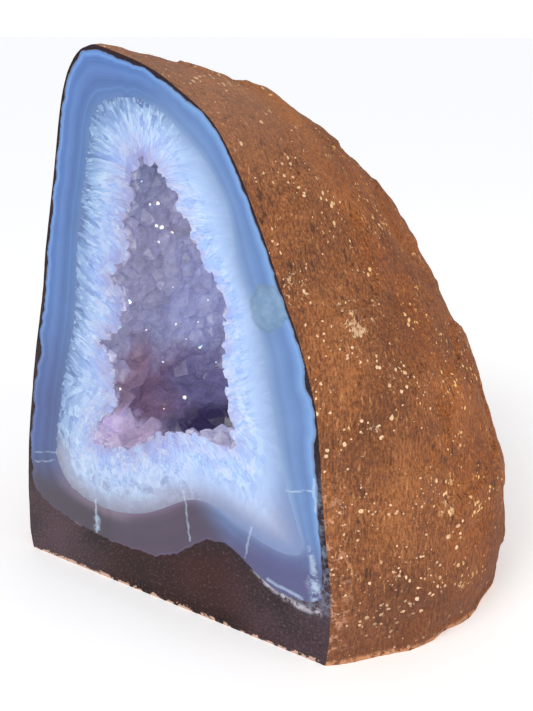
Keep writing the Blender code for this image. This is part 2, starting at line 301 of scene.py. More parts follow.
@dataclass(frozen=True)
class Shell:
    """One nested shell of the geode, given by its outline on the face and its sections.

    Attributes:
        outline: Rows of height, left edge and right edge on the sawn face.
        sections: Rows of height, half width at the widest place and depth.
        swell: Middle, width and height of the place where the rock lifts it from below.
        left_share: How far the left side bulges beside the face, as a share of the right side.
        swell_full_below: The height below which the lift is whole.
        swell_none_above: The height above which nothing is lifted.
    """

    outline: Table
    sections: Table
    swell: tuple[float, float, float] | None = None
    left_share: float = 0.60
    swell_full_below: float = 0.024
    swell_none_above: float = 0.064

    def points(self, directions: np.ndarray) -> np.ndarray:
        """Maps a unit sphere's points to the shell.

        Args:
            directions: Unit vectors, one a row. Those with y = 0 land on the sawn face.

        Returns:
            Points of the shell in the saw's frame, one a row.
        """
        bottom, top = self.outline[0][0], self.outline[-1][0]
        heights = np.linspace(bottom, top, LENGTH_STEPS + 1)
        width = read_table(self.outline, heights, 2) - read_table(self.outline, heights, 1)
        steps = np.hypot(np.diff(heights), np.diff(width) / 2)
        lengths = np.concatenate(([0.0], np.cumsum(steps))) / steps.sum()
        dx, dy, dz = directions.T
        height = np.interp(np.arccos(np.clip(-dz, -1, 1)) / np.pi, lengths, heights)
        left, right = (read_table(self.outline, height, column) for column in (1, 2))
        widest, back = (read_table(self.sections, height, column) for column in (1, 2))
        half = (right - left) / 2
        widest = np.where(dx < 0, half + self.left_share * (widest - half), widest)
        widest = np.maximum(widest, half)
        ahead = np.sqrt(1 - (half / widest) ** 2)
        reach = back / (1 + ahead)
        at_face = -np.arcsin(ahead)
        turn = np.arctan2(dy, np.abs(dx))
        quarter = np.pi / 2
        room = np.where(turn > 0, quarter - at_face, quarter + at_face)
        turn = at_face + room * turn / quarter
        x = (left + right) / 2 + np.copysign(np.cos(turn), dx) * widest
        y = reach * (ahead + np.sin(turn))
        pole = np.hypot(dx, dy) < ON_FACE
        x = np.where(pole, (left + right) / 2, x)
        y = np.where(pole, reach * ahead, y)
        y = np.where(np.abs(y) < ON_FACE, 0.0, y)
        return self.lifted(np.stack((x, y, height), axis=1))

    def lifted(self, points: np.ndarray) -> np.ndarray:
        """Lifts the points where the rock swells up below the shell.

        Args:
            points: Points of the shell.

        Returns:
            The same points, lifted.
        """
        if self.swell is None:
            return points
        middle, width, tall = self.swell
        across = np.exp(-(((points[:, 0] - middle) / width) ** 2))
        fade = (self.swell_none_above - points[:, 2]) / (self.swell_none_above - self.swell_full_below)
        points[:, 2] += tall * across * np.clip(fade, 0, 1)
        return points

    def ring(self, turns: int, back: float) -> np.ndarray:
        """One ring of points round the shell.

        Args:
            turns: How many points.
            back: 0 on the sawn face, 90 at the pole behind it, in degrees.

        Returns:
            The ring's points in the saw's frame.
        """
        angle = (np.arange(turns) + 0.5) * 2 * np.pi / turns
        tilt = math.radians(back)
        flat = np.stack((np.cos(angle), np.zeros(turns), np.sin(angle)), axis=1) * math.cos(tilt)
        flat[:, 1] = math.sin(tilt)
        return self.points(flat)


ROCK = Shell(ROCK_OUTLINE, ROCK_SECTIONS)
AGATE = Shell(AGATE_OUTLINE, AGATE_SECTIONS, (0.0215, 0.0140, 0.0130))
QUARTZ = Shell(QUARTZ_OUTLINE, QUARTZ_SECTIONS, (0.0160, 0.0175, 0.0145))
HOLLOW = Shell(HOLLOW_OUTLINE, HOLLOW_SECTIONS)


def outward(points: np.ndarray) -> np.ndarray:
    """Ways that lead away from the upright line that the layers grow round.

    Args:
        points: Points in the saw's frame.

    Returns:
        A unit vector in the face's plane for each point.
    """
    foot, head = (np.array(end) * MM for end in LAYER_AXIS)
    along = head - foot
    share = np.clip((points - foot) @ along / (along @ along), 0, 1)
    away = points - foot - share[:, None] * along
    away[:, 1] = 0.0
    return away / np.maximum(np.linalg.norm(away, axis=1), NEVER_ZERO)[:, None]


def gaps_to(points: np.ndarray, ring: np.ndarray) -> np.ndarray:
    """How far points lie from a ring.

    Args:
        points: The points.
        ring: The ring's points.

    Returns:
        The distance from each point to the nearest point of the ring.
    """
    tree = kdtree.KDTree(len(ring))
    for index, spot in enumerate(ring):
        tree.insert(spot, index)
    tree.balance()
    return np.array([tree.find(spot)[2] for spot in points])


def scalloped(ring: np.ndarray) -> np.ndarray:
    """The agate's outer edge: rounded waves that leave a thin rim of rock, and the smoother foot.

    Args:
        ring: A ring of the agate's outer wall, in the saw's frame.

    Returns:
        The ring with its waves, which fade away behind the face.
    """
    flat = ring * (1, 0, 1)
    away = outward(ring)
    large, small = np.abs(noise_at(flat, 6.2 * MM, 3.1)), np.abs(noise_at(flat, 2.3 * MM, 8.7))
    lobes = np.maximum(0.0, noise_at(flat, 8.5 * MM, 6.3) - 0.16)
    broad, fine = (1 - np.minimum(1.0, 2.4 * wave) for wave in (large, small))
    rim = 0.45 + 0.55 * broad + 0.30 * fine + 3.4 * lobes
    right = smooth(away[:, 0], 0.3, 0.8)
    rim = rim * (1 - 0.35 * right) + 1.3 * right * (1 - smooth(ring[:, 2], 0.045, 0.075))
    upper = smooth(away[:, 2], -0.5, -0.1)
    thin = gaps_to(flat, ROCK.ring(len(ring) * 2, 0)) - rim * MM
    foot = (1.5 * large + 1.2 * small - 0.8) * MM
    fade = 1 - smooth(ring[:, 1], 0.0, 7 * MM)
    return ring + away * ((upper * thin + (1 - upper) * foot) * fade)[:, None]


def needled(ring: np.ndarray) -> np.ndarray:
    """The quartz's outer edge with its needle tips, sharp at the left and top only.

    Args:
        ring: A ring of the quartz's outer wall, in the saw's frame.

    Returns:
        The ring with its tips, which fade away behind the face.
    """
    away = outward(ring)
    flat = ring * (1, 0, 1)
    soft = np.maximum(smooth(away[:, 0], 0.1, 0.6), smooth(-away[:, 2], 0.3, 0.8))
    spikes = np.abs(noise_at(flat, 1.8 * MM, 5.5))
    size = 1.5 * MM * (1 - 0.94 * soft)
    fade = 1 - smooth(ring[:, 1], 0.0, 5 * MM)
    return ring + away * ((spikes - 0.2) * size * fade)[:, None]


def lipped(turns: int, back: float) -> np.ndarray:
    """One ring of the hollow's wall, which meets the sawn face along the lip.

    Args:
        turns: How many points.
        back: 0 on the sawn face, 90 at the pole behind it, in degrees.

    Returns:
        The ring's points in the saw's frame.
    """
    flat = HOLLOW.ring(turns, 0)[:, (0, 2)]
    foot, head = (np.array(end) * MM for end in LIP_AXIS)
    along = head - foot
    share = np.clip((flat - foot) @ along / (along @ along), 0, 1)
    root = foot + share[:, None] * along
    way = flat - root
    reach = np.linalg.norm(way, axis=1)
    way /= reach[:, None]
    start = np.array(LIP) * MM
    side = np.roll(start, -1, axis=0) - start
    gap = start[None] - root[:, None]
    cross = way[:, None, 0] * side[None, :, 1] - way[:, None, 1] * side[None, :, 0]
    cross = np.where(np.abs(cross) < 1e-12, 1e-12, cross)
    far = (gap[..., 0] * side[None, :, 1] - gap[..., 1] * side[None, :, 0]) / cross
    near = (gap[..., 0] * way[:, None, 1] - gap[..., 1] * way[:, None, 0]) / cross
    far = np.where((near >= 0) & (near <= 1) & (far > 0), far, np.inf).min(axis=1)
    shift = np.where(np.isfinite(far), far - reach, 0.0)
    ring = HOLLOW.ring(turns, back)
    fade = 1 - smooth(ring[:, 1], 1 * MM, 12 * MM)
    ring[:, (0, 2)] += way * (shift * fade)[:, None]
    return ring


def grown(rings: Sequence[np.ndarray], by: float, keep_face: bool = False) -> list[np.ndarray]:
    """Rings moved outwards from the middle of their shell.

    Args:
        rings: The rings, in the saw's frame.
        by: How far they move, inwards if negative.
        keep_face: Whether rings on the sawn face stay.

    Returns:
        The moved rings.
    """
    out = []
    for ring in rings:
        away = outward(ring)
        away[:, 1] = smooth(ring[:, 1], 0.02, 0.09)
        away /= np.linalg.norm(away, axis=1)[:, None]
        on_face = ring[:, 1] < ON_FACE
        away[on_face, 1] = 0.0
        move = np.where(on_face, 0.0, by) if keep_face else np.full(len(ring), by)
        out.append(ring + away * move[:, None])
    return out


def deselect() -> None:
    """Leaves nothing selected, so that the next operator acts on new work only."""
    for obj in bpy.context.view_layer.objects:
        obj.select_set(False)


def pick(obj: bpy.types.Object) -> None:
    """Makes one object the only selected and active one.

    Args:
        obj: The object.
    """
    deselect()
    obj.select_set(True)
    bpy.context.view_layer.objects.active = obj


def read_points(obj: bpy.types.Object) -> np.ndarray:
    """Reads where the object's vertices are.

    Args:
        obj: The object.

    Returns:
        Rows of x, y and z.
    """
    flat = np.empty(len(obj.data.vertices) * 3, np.float32)
    obj.data.vertices.foreach_get("co", flat)
    return flat.reshape(-1, 3).astype(float)


def write_points(obj: bpy.types.Object, points: np.ndarray) -> None:
    """Moves the object's vertices."""
    obj.data.vertices.foreach_set("co", points.astype(np.float32).ravel())
    obj.data.update()


def loft(name: str, rings: Sequence[np.ndarray]) -> bpy.types.Object:
    """A closed skin over rings of points, shut at both ends where the rings shrink to a point.

    Args:
        name: The new object's name.
        rings: Rings with the same number of points, from one end to the other.

    Returns:
        The object. Its UV map runs round the rings in u and along them in v.
    """
    rows = np.stack(rings)
    turns, levels = rows.shape[1], rows.shape[0]
    deselect()
    bpy.ops.mesh.primitive_grid_add(x_subdivisions=turns, y_subdivisions=levels - 1, size=1)
    obj = bpy.context.object
    obj.name = obj.data.name = name
    at = read_points(obj)
    column = np.rint((at[:, 0] + 0.5) * turns).astype(int) % turns
    row = np.rint((at[:, 1] + 0.5) * (levels - 1)).astype(int)
    write_points(obj, rows[row, column])
    bpy.ops.object.mode_set(mode="EDIT")
    bpy.ops.mesh.select_all(action="SELECT")
    bpy.ops.mesh.remove_doubles(threshold=1e-6)
    bpy.ops.mesh.normals_make_consistent(inside=False)
    bpy.ops.object.mode_set(mode="OBJECT")
    return obj


def pole(ring: np.ndarray) -> np.ndarray:
    """A ring drawn in to its own middle, which shuts the end of a loft."""
    return np.repeat(ring.mean(axis=0)[None, :], len(ring), axis=0)


def cut_off(obj: bpy.types.Object, at: Vector, away: Vector) -> None:
    """Saws off what lies on the far side of a plane and fills the cut flat.

    Args:
        obj: What is cut.
        at: A point of the plane.
        away: The side that is lost.
    """
    pick(obj)
    bpy.ops.object.mode_set(mode="EDIT")
    bpy.ops.mesh.select_all(action="SELECT")
    bpy.ops.mesh.bisect(plane_co=at, plane_no=away, use_fill=True, clear_outer=True)
    bpy.ops.object.mode_set(mode="OBJECT")


class Join(Enum):
    """How solids are combined."""

    ADD = "UNION"
    TAKE_AWAY = "DIFFERENCE"


def combine(obj: bpy.types.Object, others: Iterable[bpy.types.Object], how: Join) -> None:
    """Joins solids to an object or takes them away, and removes the tools used.

    Args:
        obj: The object that is changed.
        others: The closed solids to combine it with, in order.
        how: Whether they are added or taken away.
    """
    pick(obj)
    tools = list(others)
    for other in tools:
        modifier = obj.modifiers.new(other.name, "BOOLEAN")
        modifier.operation = how.value
        modifier.object = other
        modifier.solver = "MANIFOLD"
        bpy.ops.object.modifier_apply(modifier=modifier.name)
    for other in tools:
        bpy.data.objects.remove(other)


def saw_front(obj: bpy.types.Object, tile: float = 0.8 * MM, thick: float = 0.05) -> None:
    """Takes off all that stands in front of the sawn face, and leaves that face in small tiles.

    Args:
        obj: What is sawn, in the saw's frame.
        tile: The size of the tiles, fine enough to store the growth layers on.
        thick: The thickness of the slab that stands for what the saw takes off.
    """
    (left, low), (right, high) = (-0.062, 0.010), (0.062, 0.172)
    deselect()
    bpy.ops.mesh.primitive_grid_add(
        x_subdivisions=round((right - left) / tile), y_subdivisions=round((high - low) / tile), size=1,
    )
    slab = bpy.context.object
    flat = read_points(slab) + (0.5, 0.5, 0.0)
    points = np.zeros_like(flat)
    points[:, 0] = left + flat[:, 0] * (right - left)
    points[:, 2] = low + flat[:, 1] * (high - low)
    write_points(slab, points)
    pick(slab)
    solid = slab.modifiers.new("thick", "SOLIDIFY")
    solid.thickness, solid.offset = thick, 1.0
    bpy.ops.object.modifier_apply(modifier="thick")
    if read_points(slab)[:, 1].max() > ON_FACE:
        points = read_points(slab)
        points[:, 1] *= -1
        write_points(slab, points)
        slab.data.flip_normals()
    combine(obj, [slab], Join.TAKE_AWAY)


def aim(
    tree: BVHTree, camera: bpy.types.Object, at: tuple[float, float]
) -> tuple[Vector | None, Vector | None]:
    """Finds where a line of sight through a place in the photo's frame meets a surface.

    Args:
        tree: The surface, in the saw's frame.
        camera: The camera.
        at: The place in the photo's frame.

    Returns:
        The point that it meets and the surface's normal there, or two Nones.
    """
    way = Vector((at[0] - PHOTO_SIZE[0] / 2, PHOTO_SIZE[1] / 2 - at[1], -Studio.focal_pixels))
    way.rotate(camera.rotation_euler)
    return tree.ray_cast(camera.location + ORIGIN_IN_SAW_FRAME, way.normalized())[:2]


def settle(obj: bpy.types.Object, node: str) -> None:
    """Moves a finished piece from the saw's frame to the frame's origin and registers it.

    Args:
        obj: The piece.
        node: The node that it replaces, or nothing.
    """
    write_points(obj, read_points(obj) - np.array(ORIGIN_IN_SAW_FRAME))
    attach(obj, "root")
    if node:
        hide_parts(node)
    LOG.info("%s: %d faces", obj.name, len(obj.data.polygons))


class Bench:
    """A short way to lay out the nodes of one material or node group."""

    def __init__(self, tree: bpy.types.NodeTree) -> None:
        """Starts on a node tree."""
        self.tree = tree

    def put(self, kind: str, inputs: dict | None = None, **settings: object) -> bpy.types.Node:
        """Adds a node.

        Args:
            kind: The node's type, without its ShaderNode prefix.
            inputs: Values or sockets for its inputs, by name or number.
            **settings: Values for the node's own settings.

        Returns:
            The node.
        """
        node = self.tree.nodes.new("ShaderNode" + kind)
        for name, value in settings.items():
            setattr(node, name, value)
        self.feed(node, inputs or {})
        return node

    def feed(self, node: bpy.types.Node, inputs: dict) -> None:
        """Sets or links a node's inputs.

        Args:
            node: The node.
            inputs: Values or sockets for its inputs, by name or number.
        """
        for key, value in inputs.items():
            if isinstance(value, Socket):
                self.tree.links.new(value, node.inputs[key])
            else:
                node.inputs[key].default_value = value

    def math(self, how: str, a: Socket | float, b: Socket | float = 0.0, clamp: bool = False) -> Socket:
        """The result of one math step."""
        return self.put("Math", {0: a, 1: b}, operation=how, use_clamp=clamp).outputs[0]

    def times(self, a: Socket | float, b: Socket | float) -> Socket:
        """The product of two values."""
        return self.math("MULTIPLY", a, b)

    def plus(self, a: Socket | float, b: Socket | float) -> Socket:
        """The sum of two values."""
        return self.math("ADD", a, b)

    def minus(self, a: Socket | float, b: Socket | float) -> Socket:
        """The first value less the second."""
        return self.math("SUBTRACT", a, b)

    def vector(self, how: str, a: Place, b: Place = (0.0, 0.0, 0.0)) -> Socket:
        """The vector that one step of vector math gives."""
        return self.put("VectorMath", {0: a, 1: b}, operation=how).outputs[0]

    def measure(self, how: str, a: Place, b: Place = (0.0, 0.0, 0.0)) -> Socket:
        """The number that one step of vector math gives."""
        return self.put("VectorMath", {0: a, 1: b}, operation=how).outputs["Value"]

    def scaled(self, a: Place, by: Socket | float) -> Socket:
        """A vector made longer or shorter."""
        return self.put("VectorMath", {0: a, "Scale": by}, operation="SCALE").outputs[0]

    def shaken(self, at: Socket, scale: float, by: Socket | float) -> Socket:
        """A place moved at random, which roughens the edge of what is drawn there.

        Args:
            at: The place.
            scale: How many waves of the roughness go to a metre.
            by: How far it moves, in metres.

        Returns:
            The moved place.
        """
        shake = self.put("TexNoise", {"Vector": at, "Scale": scale, "Detail": 3.0}).outputs[1]
        centred = self.vector("SUBTRACT", shake, (0.5, 0.5, 0.5))
        return self.vector("ADD", at, self.scaled(centred, by))

    def step(self, value: Socket, low: float, high: float) -> Socket:
        """A soft step between two numbers.

        Args:
            value: What is stepped.
            low: Where the step is 0.
            high: Where the step is 1, which may be the lower number.

        Returns:
            The step, 0 to 1.
        """
        start, end = (0.0, 1.0) if low < high else (1.0, 0.0)
        inputs = {0: value, 1: min(low, high), 2: max(low, high), 3: start, 4: end}
        return self.put("MapRange", inputs, interpolation_type="SMOOTHSTEP").outputs[0]

    def ramp(self, value: Socket, stops: Sequence[tuple[float, Colour]]) -> Socket:
        """A colour ramp.

        Args:
            value: Where to read the ramp.
            stops: Its colours and their places, from 0 to 1.

        Returns:
            The colour.
        """
        node = self.put("ValToRGB", {0: value})
        elements = node.color_ramp.elements
        while len(elements) < len(stops):
            elements.new(0.5)
        for element, (place, colour) in zip(elements, stops):
            element.position = place
            element.color = colour
        return node.outputs[0]

    def mix(self, share: Socket | float, a: Socket | Colour, b: Socket | Colour, how: str = "MIX") -> Socket:
        """Two colours mixed by a share."""
        node = self.put("Mix", {0: share, 6: a, 7: b}, data_type="RGBA", blend_type=how)
        return node.outputs[2]

    def shaded(
        self, share: Socket | float, colour: Socket, value: Socket, stops: Sequence[tuple[float, Colour]]
    ) -> Socket:
        """A colour made darker and lighter by a ramp of greys."""
        return self.mix(share, colour, self.ramp(value, stops), "OVERLAY")

    def noise(self, at: Socket, scale: float, detail: float = 3.0, rough: float = 0.5) -> Socket:
        """Noise between 0 and 1 with a given number of lumps to the metre."""
        inputs = {"Vector": at, "Scale": scale, "Detail": detail, "Roughness": rough}
        return self.put("TexNoise", inputs).outputs[0]

    def place(self) -> Socket:
        """The place on the piece, in metres."""
        return self.put("TexCoord").outputs["Object"]

    def axes(self, at: Socket) -> tuple[Socket, Socket, Socket]:
        """The three parts of a vector."""
        out = self.put("SeparateXYZ", {0: at}).outputs
        return out[0], out[1], out[2]

    def bump(self, height: Socket, strength: float, distance: float) -> Socket:
        """A bumped normal."""
        inputs = {"Height": height, "Strength": strength, "Distance": distance}
        return self.put("Bump", inputs).outputs[0]

    def group(self, tree: bpy.types.NodeTree, inputs: dict) -> bpy.types.Node:
        """Places a node group with its own values.

        Args:
            tree: The group.
            inputs: Values or sockets for its inputs, by name.

        Returns:
            The node.
        """
        return self.put("Group", inputs, node_tree=tree)


def new_group(
    name: str, inputs: dict[str, str], outputs: dict[str, str]
) -> tuple[Bench, bpy.types.Node, bpy.types.Node]:
    """An empty node group with its sockets.

    Args:
        name: The group's name.
        inputs: Socket names and their kinds.
        outputs: Socket names and their kinds.

    Returns:
        A bench on the group, its input node and its output node.
    """
    tree = bpy.data.node_groups.new(name, "ShaderNodeTree")
    for way, sockets in (("INPUT", inputs), ("OUTPUT", outputs)):
        for label, kind in sockets.items():
            tree.interface.new_socket(name=label, in_out=way, socket_type="NodeSocket" + kind)
    bench = Bench(tree)
    return bench, tree.nodes.new("NodeGroupInput"), tree.nodes.new("NodeGroupOutput")


def vein_group() -> bpy.types.NodeTree:
    """Draws a thin healed crack between two points of the sawn face.

    Returns:
        The group, whose mask is 1 in the middle of the crack and 0 beside it.
    """
    bench, source, sink = new_group(
        "VeinMask",
        {"From": "Vector", "To": "Vector", "Width": "Float", "Wander": "Float"},
        {"Mask": "Float"},
    )
    at = bench.place()
    spot = bench.shaken(at, 260.0, source.outputs["Wander"])
    from_start = bench.vector("SUBTRACT", spot, source.outputs["From"])
    along = bench.vector("SUBTRACT", source.outputs["To"], source.outputs["From"])
    dot = bench.measure("DOT_PRODUCT", from_start, along)
    square = bench.measure("DOT_PRODUCT", along, along)
    share = bench.math("DIVIDE", dot, square, clamp=True)
    on_line = bench.scaled(along, share)
    gap = bench.measure("DISTANCE", from_start, on_line)
    depth = bench.math("DIVIDE", gap, source.outputs["Width"])
    bench.tree.links.new(bench.math("SUBTRACT", 1.0, depth, clamp=True), sink.inputs[0])
    return bench.tree


def needle_group() -> bpy.types.NodeTree:
    """Quartz needles that grow away from the hollow's upright middle line and lean upwards.

    Returns:
        The group. Cells gives each needle its own shade, Streaks fine bright lines along them, and
        Fans broad shades.
    """
    bench, source, sink = new_group(
        "Needles", {"Fineness": "Float"}, {"Cells": "Float", "Streaks": "Float", "Fans": "Float"}
    )
    foot, head = (Vector(end) * MM - ORIGIN_IN_SAW_FRAME for end in NEEDLE_AXIS)
    along = head - foot
    at = bench.place()
    from_foot = bench.vector("SUBTRACT", at, foot)
    dot = bench.measure("DOT_PRODUCT", from_foot, along / along.length_squared)
    share = bench.math("MAXIMUM", bench.math("MINIMUM", dot, 1.0), 0.0)
    on_line = bench.scaled(along, share)
    away = bench.vector("SUBTRACT", from_foot, on_line)
    length = bench.measure("LENGTH", away)
    unit = bench.vector("NORMALIZE", away)
    wobble = bench.minus(bench.noise(at, 110.0, 3.0, 0.6), 0.5)
    ux, _, uz = bench.axes(unit)
    lean = bench.times(bench.times(length, 0.5 / (22 * MM)), bench.step(share, 1.0, 0.8))
    rise = bench.minus(bench.times(share, along.length / (22 * MM)), lean)
    bent = bench.plus(rise, bench.times(wobble, 0.2))

    def spot(drift: float) -> Socket:
        """A place that changes slowly along the needles.

        Args:
            drift: How fast it changes with the distance from the middle.

        Returns:
            The place, for a texture to read.
        """
        return bench.put("CombineXYZ", {
            0: bench.plus(ux, bench.times(wobble, 0.16)),
            1: bent,
            2: bench.plus(uz, bench.times(length, drift)),
        }).outputs[0]

    cells = bench.put("TexVoronoi", {"Vector": spot(18.0), "Scale": source.outputs["Fineness"]})
    bench.tree.links.new(bench.axes(cells.outputs["Color"])[0], sink.inputs[0])
    for outlet, (fineness, drift) in enumerate(((1.7, 21.0), (0.42, 24.0)), start=1):
        scale = bench.times(source.outputs["Fineness"], fineness)
        lines = bench.put("TexNoise", {"Vector": spot(drift), "Scale": scale, "Detail": 3.0, "Roughness": 0.6})
        bench.tree.links.new(lines.outputs[0], sink.inputs[outlet])
    return bench.tree


@dataclass(frozen=True)
class Finish:
    """What all finishes of the geode share."""

    name: str

    def start(self) -> tuple[bpy.types.Material, Bench, bpy.types.Node]:
        """A new material with only its shader and output.

        Returns:
            The material, a bench on its nodes and its shader.
        """
        material = bpy.data.materials.new(self.name)
        material.use_nodes = True
        tree = material.node_tree
        tree.nodes.clear()
        bench = Bench(tree)
        shader = bench.put("BsdfPrincipled")
        output = bench.put("OutputMaterial")
        tree.links.new(shader.outputs[0], output.inputs[0])
        return material, bench, shader


@dataclass(frozen=True)
class SkinFinish(Finish):
    """The brown sandy coat of the outside."""

    dark: Colour = paint(104, 57, 26)
    middle: Colour = paint(137, 80, 40)
    light: Colour = paint(172, 108, 58)
    # painted shade for the skin's grooves
    crease_shade: Colour = paint(66, 32, 14)
    scratch: Colour = paint(214, 152, 98)
    crumb: Colour = paint(242, 206, 164)
    top: Colour = paint(186, 136, 108)
    # painted warm light on the skin towards the back
    painted_warm_light: Colour = (1.10, 0.94, 0.56, 1.0)
    # the darker colour towards the bottom
    low_tone: Colour = paint(100, 52, 30)
    # painted highlight along the skin's bottom edge
    edge_highlight: Colour = paint(226, 160, 116)
    corner: Colour = paint(216, 158, 126)

    def make(self) -> bpy.types.Material:
        """Makes the material.

        Returns:
            The material.
        """
        material, bench, shader = self.start()
        at = bench.place()
        _, y, z = bench.axes(at)
        broad = bench.noise(at, 48.0, 4.0)
        sand = bench.noise(at, 1500.0, 4.0, 0.7)
        bent = bench.vector("MULTIPLY", at, (0.8, 0.8, 0.8))
        upright = {"Vector": bent, "Rotation": (0.25, 0.30, 0.1), "Scale": (1.0, 1.0, 0.24)}
        slant = bench.put("Mapping", upright).outputs[0]
        strokes = bench.noise(slant, 2300.0, 2.0, 0.6)
        marks = bench.noise(slant, 900.0, 3.0, 0.65)
        tone = bench.plus(bench.times(broad, 0.26), bench.times(sand, 0.34))
        tone = bench.plus(tone, bench.times(strokes, 0.40))
        colour = bench.ramp(tone, [(0.42, self.dark), (0.50, self.middle), (0.58, self.light)])
        where = bench.step(bench.noise(at, 70.0, 3.0), 0.42, 0.62)
        # painted shade: the grooves, which the bump below also lowers, are darkened
        shaded_creases = bench.times(bench.step(marks, 0.43, 0.34), where)
        colour = bench.mix(bench.times(shaded_creases, 0.8), colour, self.crease_shade)
        scratches = bench.times(bench.step(marks, 0.61, 0.69), 0.6)
        colour = bench.mix(scratches, colour, self.scratch)
        cells = bench.put("TexVoronoi", {"Vector": at, "Scale": 620.0})
        size = bench.times(bench.axes(cells.outputs["Color"])[0], 0.50)
        rare = bench.step(bench.noise(at, 85.0, 5.0, 0.7), 0.47, 0.61)
        dots = bench.minus(bench.times(size, rare), cells.outputs["Distance"])
        dots = bench.step(dots, 0.0, 0.06)
        colour = bench.mix(dots, colour, self.crumb)
        clots = bench.times(bench.noise(at, 90.0, 2.0), 0.4)
        clots = bench.plus(clots, bench.times(bench.noise(at, 520.0, 5.0, 0.75), 0.6))
        colour = bench.mix(bench.times(bench.step(clots, 0.608, 0.645), 0.8), colour, self.crumb)
        pale = bench.times(bench.step(z, 128 * MM, 160 * MM), 0.35)
        colour = bench.mix(pale, colour, self.top)
        # painted warm light: the skin turns warmer towards the back, standing in for warm light from the right
        colour = bench.mix(bench.step(y, -52 * MM, -18 * MM), colour, self.painted_warm_light, "MULTIPLY")
        # darker towards the bottom
        low_darkening = bench.times(bench.step(z, 34 * MM, 8 * MM), 0.50)
        colour = bench.mix(low_darkening, colour, self.low_tone)
        grit = bench.noise(at, 420.0, 4.0, 0.7)
        # painted highlight: a pale warm edge along the bottom of the skin, broken up by grit
        edge = bench.times(bench.step(z, 2.2 * MM, 0.8 * MM), bench.step(grit, 0.40, 0.52))
        colour = bench.mix(bench.times(edge, 0.7), colour, self.edge_highlight)
        corner = bench.times(bench.step(y, -60.5 * MM, -64.5 * MM), bench.step(z, 78 * MM, 40 * MM))
        corner = bench.times(corner, bench.step(grit, 0.52, 0.60))
        colour = bench.mix(bench.times(corner, 0.7), colour, self.corner)
        height = bench.plus(bench.times(strokes, 0.7), bench.times(marks, 0.8))
        height = bench.plus(height, bench.times(sand, 0.4))
        height = bench.minus(height, bench.times(shaded_creases, 0.4))
        height = bench.plus(height, bench.times(bench.noise(at, 420.0, 4.0, 0.6), 2.6))
        rough = bench.put("MapRange", {0: sand, 3: 0.62, 4: 0.92}).outputs[0]
        normal = bench.bump(height, 1.0, 0.85 * MM)
        bench.feed(shader, {"Base Color": colour, "Roughness": rough, "Normal": normal})
        return material


@dataclass(frozen=True)
class SawnRockFinish(Finish):
    """The polished dark rock of the rim and the foot."""

    rim: Colour = paint(34, 20, 26)
    middle: Colour = paint(41, 15, 14)
    side: Colour = paint(60, 45, 52)
    chip: Colour = paint(196, 160, 140)
    strip: Colour = paint(104, 108, 124)
    speck: Colour = paint(100, 82, 84)
    crack: Colour = paint(190, 186, 200)

    def make(self, veins: bpy.types.NodeTree) -> bpy.types.Material:
        """Makes the material.

        Args:
            veins: The vein mask group.

        Returns:
            The material.
        """
        material, bench, shader = self.start()
        at = bench.place()
        x, _, z = bench.axes(at)
        speckle = bench.noise(at, 1100.0, 4.0, 0.7)
        cloud = bench.noise(at, 45.0, 3.0)
        sides = bench.step(bench.math("ABSOLUTE", bench.plus(x, 4 * MM)), 16 * MM, 42 * MM)
        colour = bench.mix(bench.times(sides, 0.8), self.middle, self.side)
        colour = bench.mix(bench.step(z, 20 * MM, 34 * MM), colour, self.rim)
        shade = bench.plus(bench.times(speckle, 0.5), bench.times(cloud, 0.5))
        salt = [(0.40, (0.14, 0.13, 0.14, 1)), (0.60, (0.92, 0.90, 0.92, 1))]
        colour = bench.shaded(0.85, colour, shade, salt)
        ragged = bench.noise(at, 1300.0, 3.0, 0.7)
        rough_edge = bench.times(ragged, bench.step(bench.noise(at, 230.0, 4.0, 0.6), 0.40, 0.60))
        low = bench.step(bench.plus(z, bench.times(rough_edge, -3.0 * MM)), 0.0, -0.5 * MM)
        colour = bench.mix(low, colour, self.chip)
        specks = bench.times(bench.step(speckle, 0.56, 0.66), bench.step(z, 34 * MM, 26 * MM))
        colour = bench.mix(bench.times(specks, 0.5), colour, self.speck)
        strip = bench.times(bench.step(x, 38 * MM, 43 * MM), bench.step(z, 66 * MM, 50 * MM))
        strip = bench.times(strip, bench.step(z, 14 * MM, 22 * MM))
        patchy = bench.step(bench.noise(at, 500.0, 4.0, 0.7), 0.40, 0.60)
        colour = bench.mix(bench.times(strip, patchy), colour, self.strip)
        colour = veins_over(bench, colour, veins, self.crack, CHIPS)
        rough = bench.put("MapRange", {0: speckle, 3: 0.10, 4: 0.26}).outputs[0]
        normal = bench.bump(speckle, 0.12, 0.05 * MM)
        bench.feed(shader, {
            "Base Color": colour, "Roughness": rough, "Normal": normal, "Specular IOR Level": 0.22,
        })
        return material


@dataclass(frozen=True)
class Vein:
    """A healed crack on the sawn face: its ends in millimetres from the base's middle."""

    start: tuple[float, float]
    end: tuple[float, float]
    width: float
    strength: float = 1.0


VEINS = (
    Vein((-51.1, 40.2), (-41.8, 42.8), 0.5, 0.5),
    Vein((-51.6, 36.7), (-42.3, 39.3), 0.5, 0.5),
    Vein((-26.2, 29.5), (-27.2, 17.0), 0.7, 0.8),
    Vein((-26.5, 22.5), (-26.9, 19.0), 1.9, 0.9),
    Vein((9.2, 44.1), (10.6, 26.7), 0.6, 0.65),
    Vein((32.3, 39.0), (30.2, 28.0), 0.6, 0.65),
    Vein((43.9, 54.5), (51.6, 56.7), 0.55, 0.9),
    Vein((51.9, 60.3), (52.6, 50.5), 0.6, 0.8),
    Vein((51.5, 38.1), (53.5, 24.0), 1.8, 0.9),
    Vein((52.5, 27.0), (54.6, 20.5), 3.4, 0.9),
    Vein((-39.3, 17.8), (-33.9, 15.2), 0.9, 0.8),
    Vein((38.0, 22.8), (49.1, 20.8), 0.9, 0.8),
)


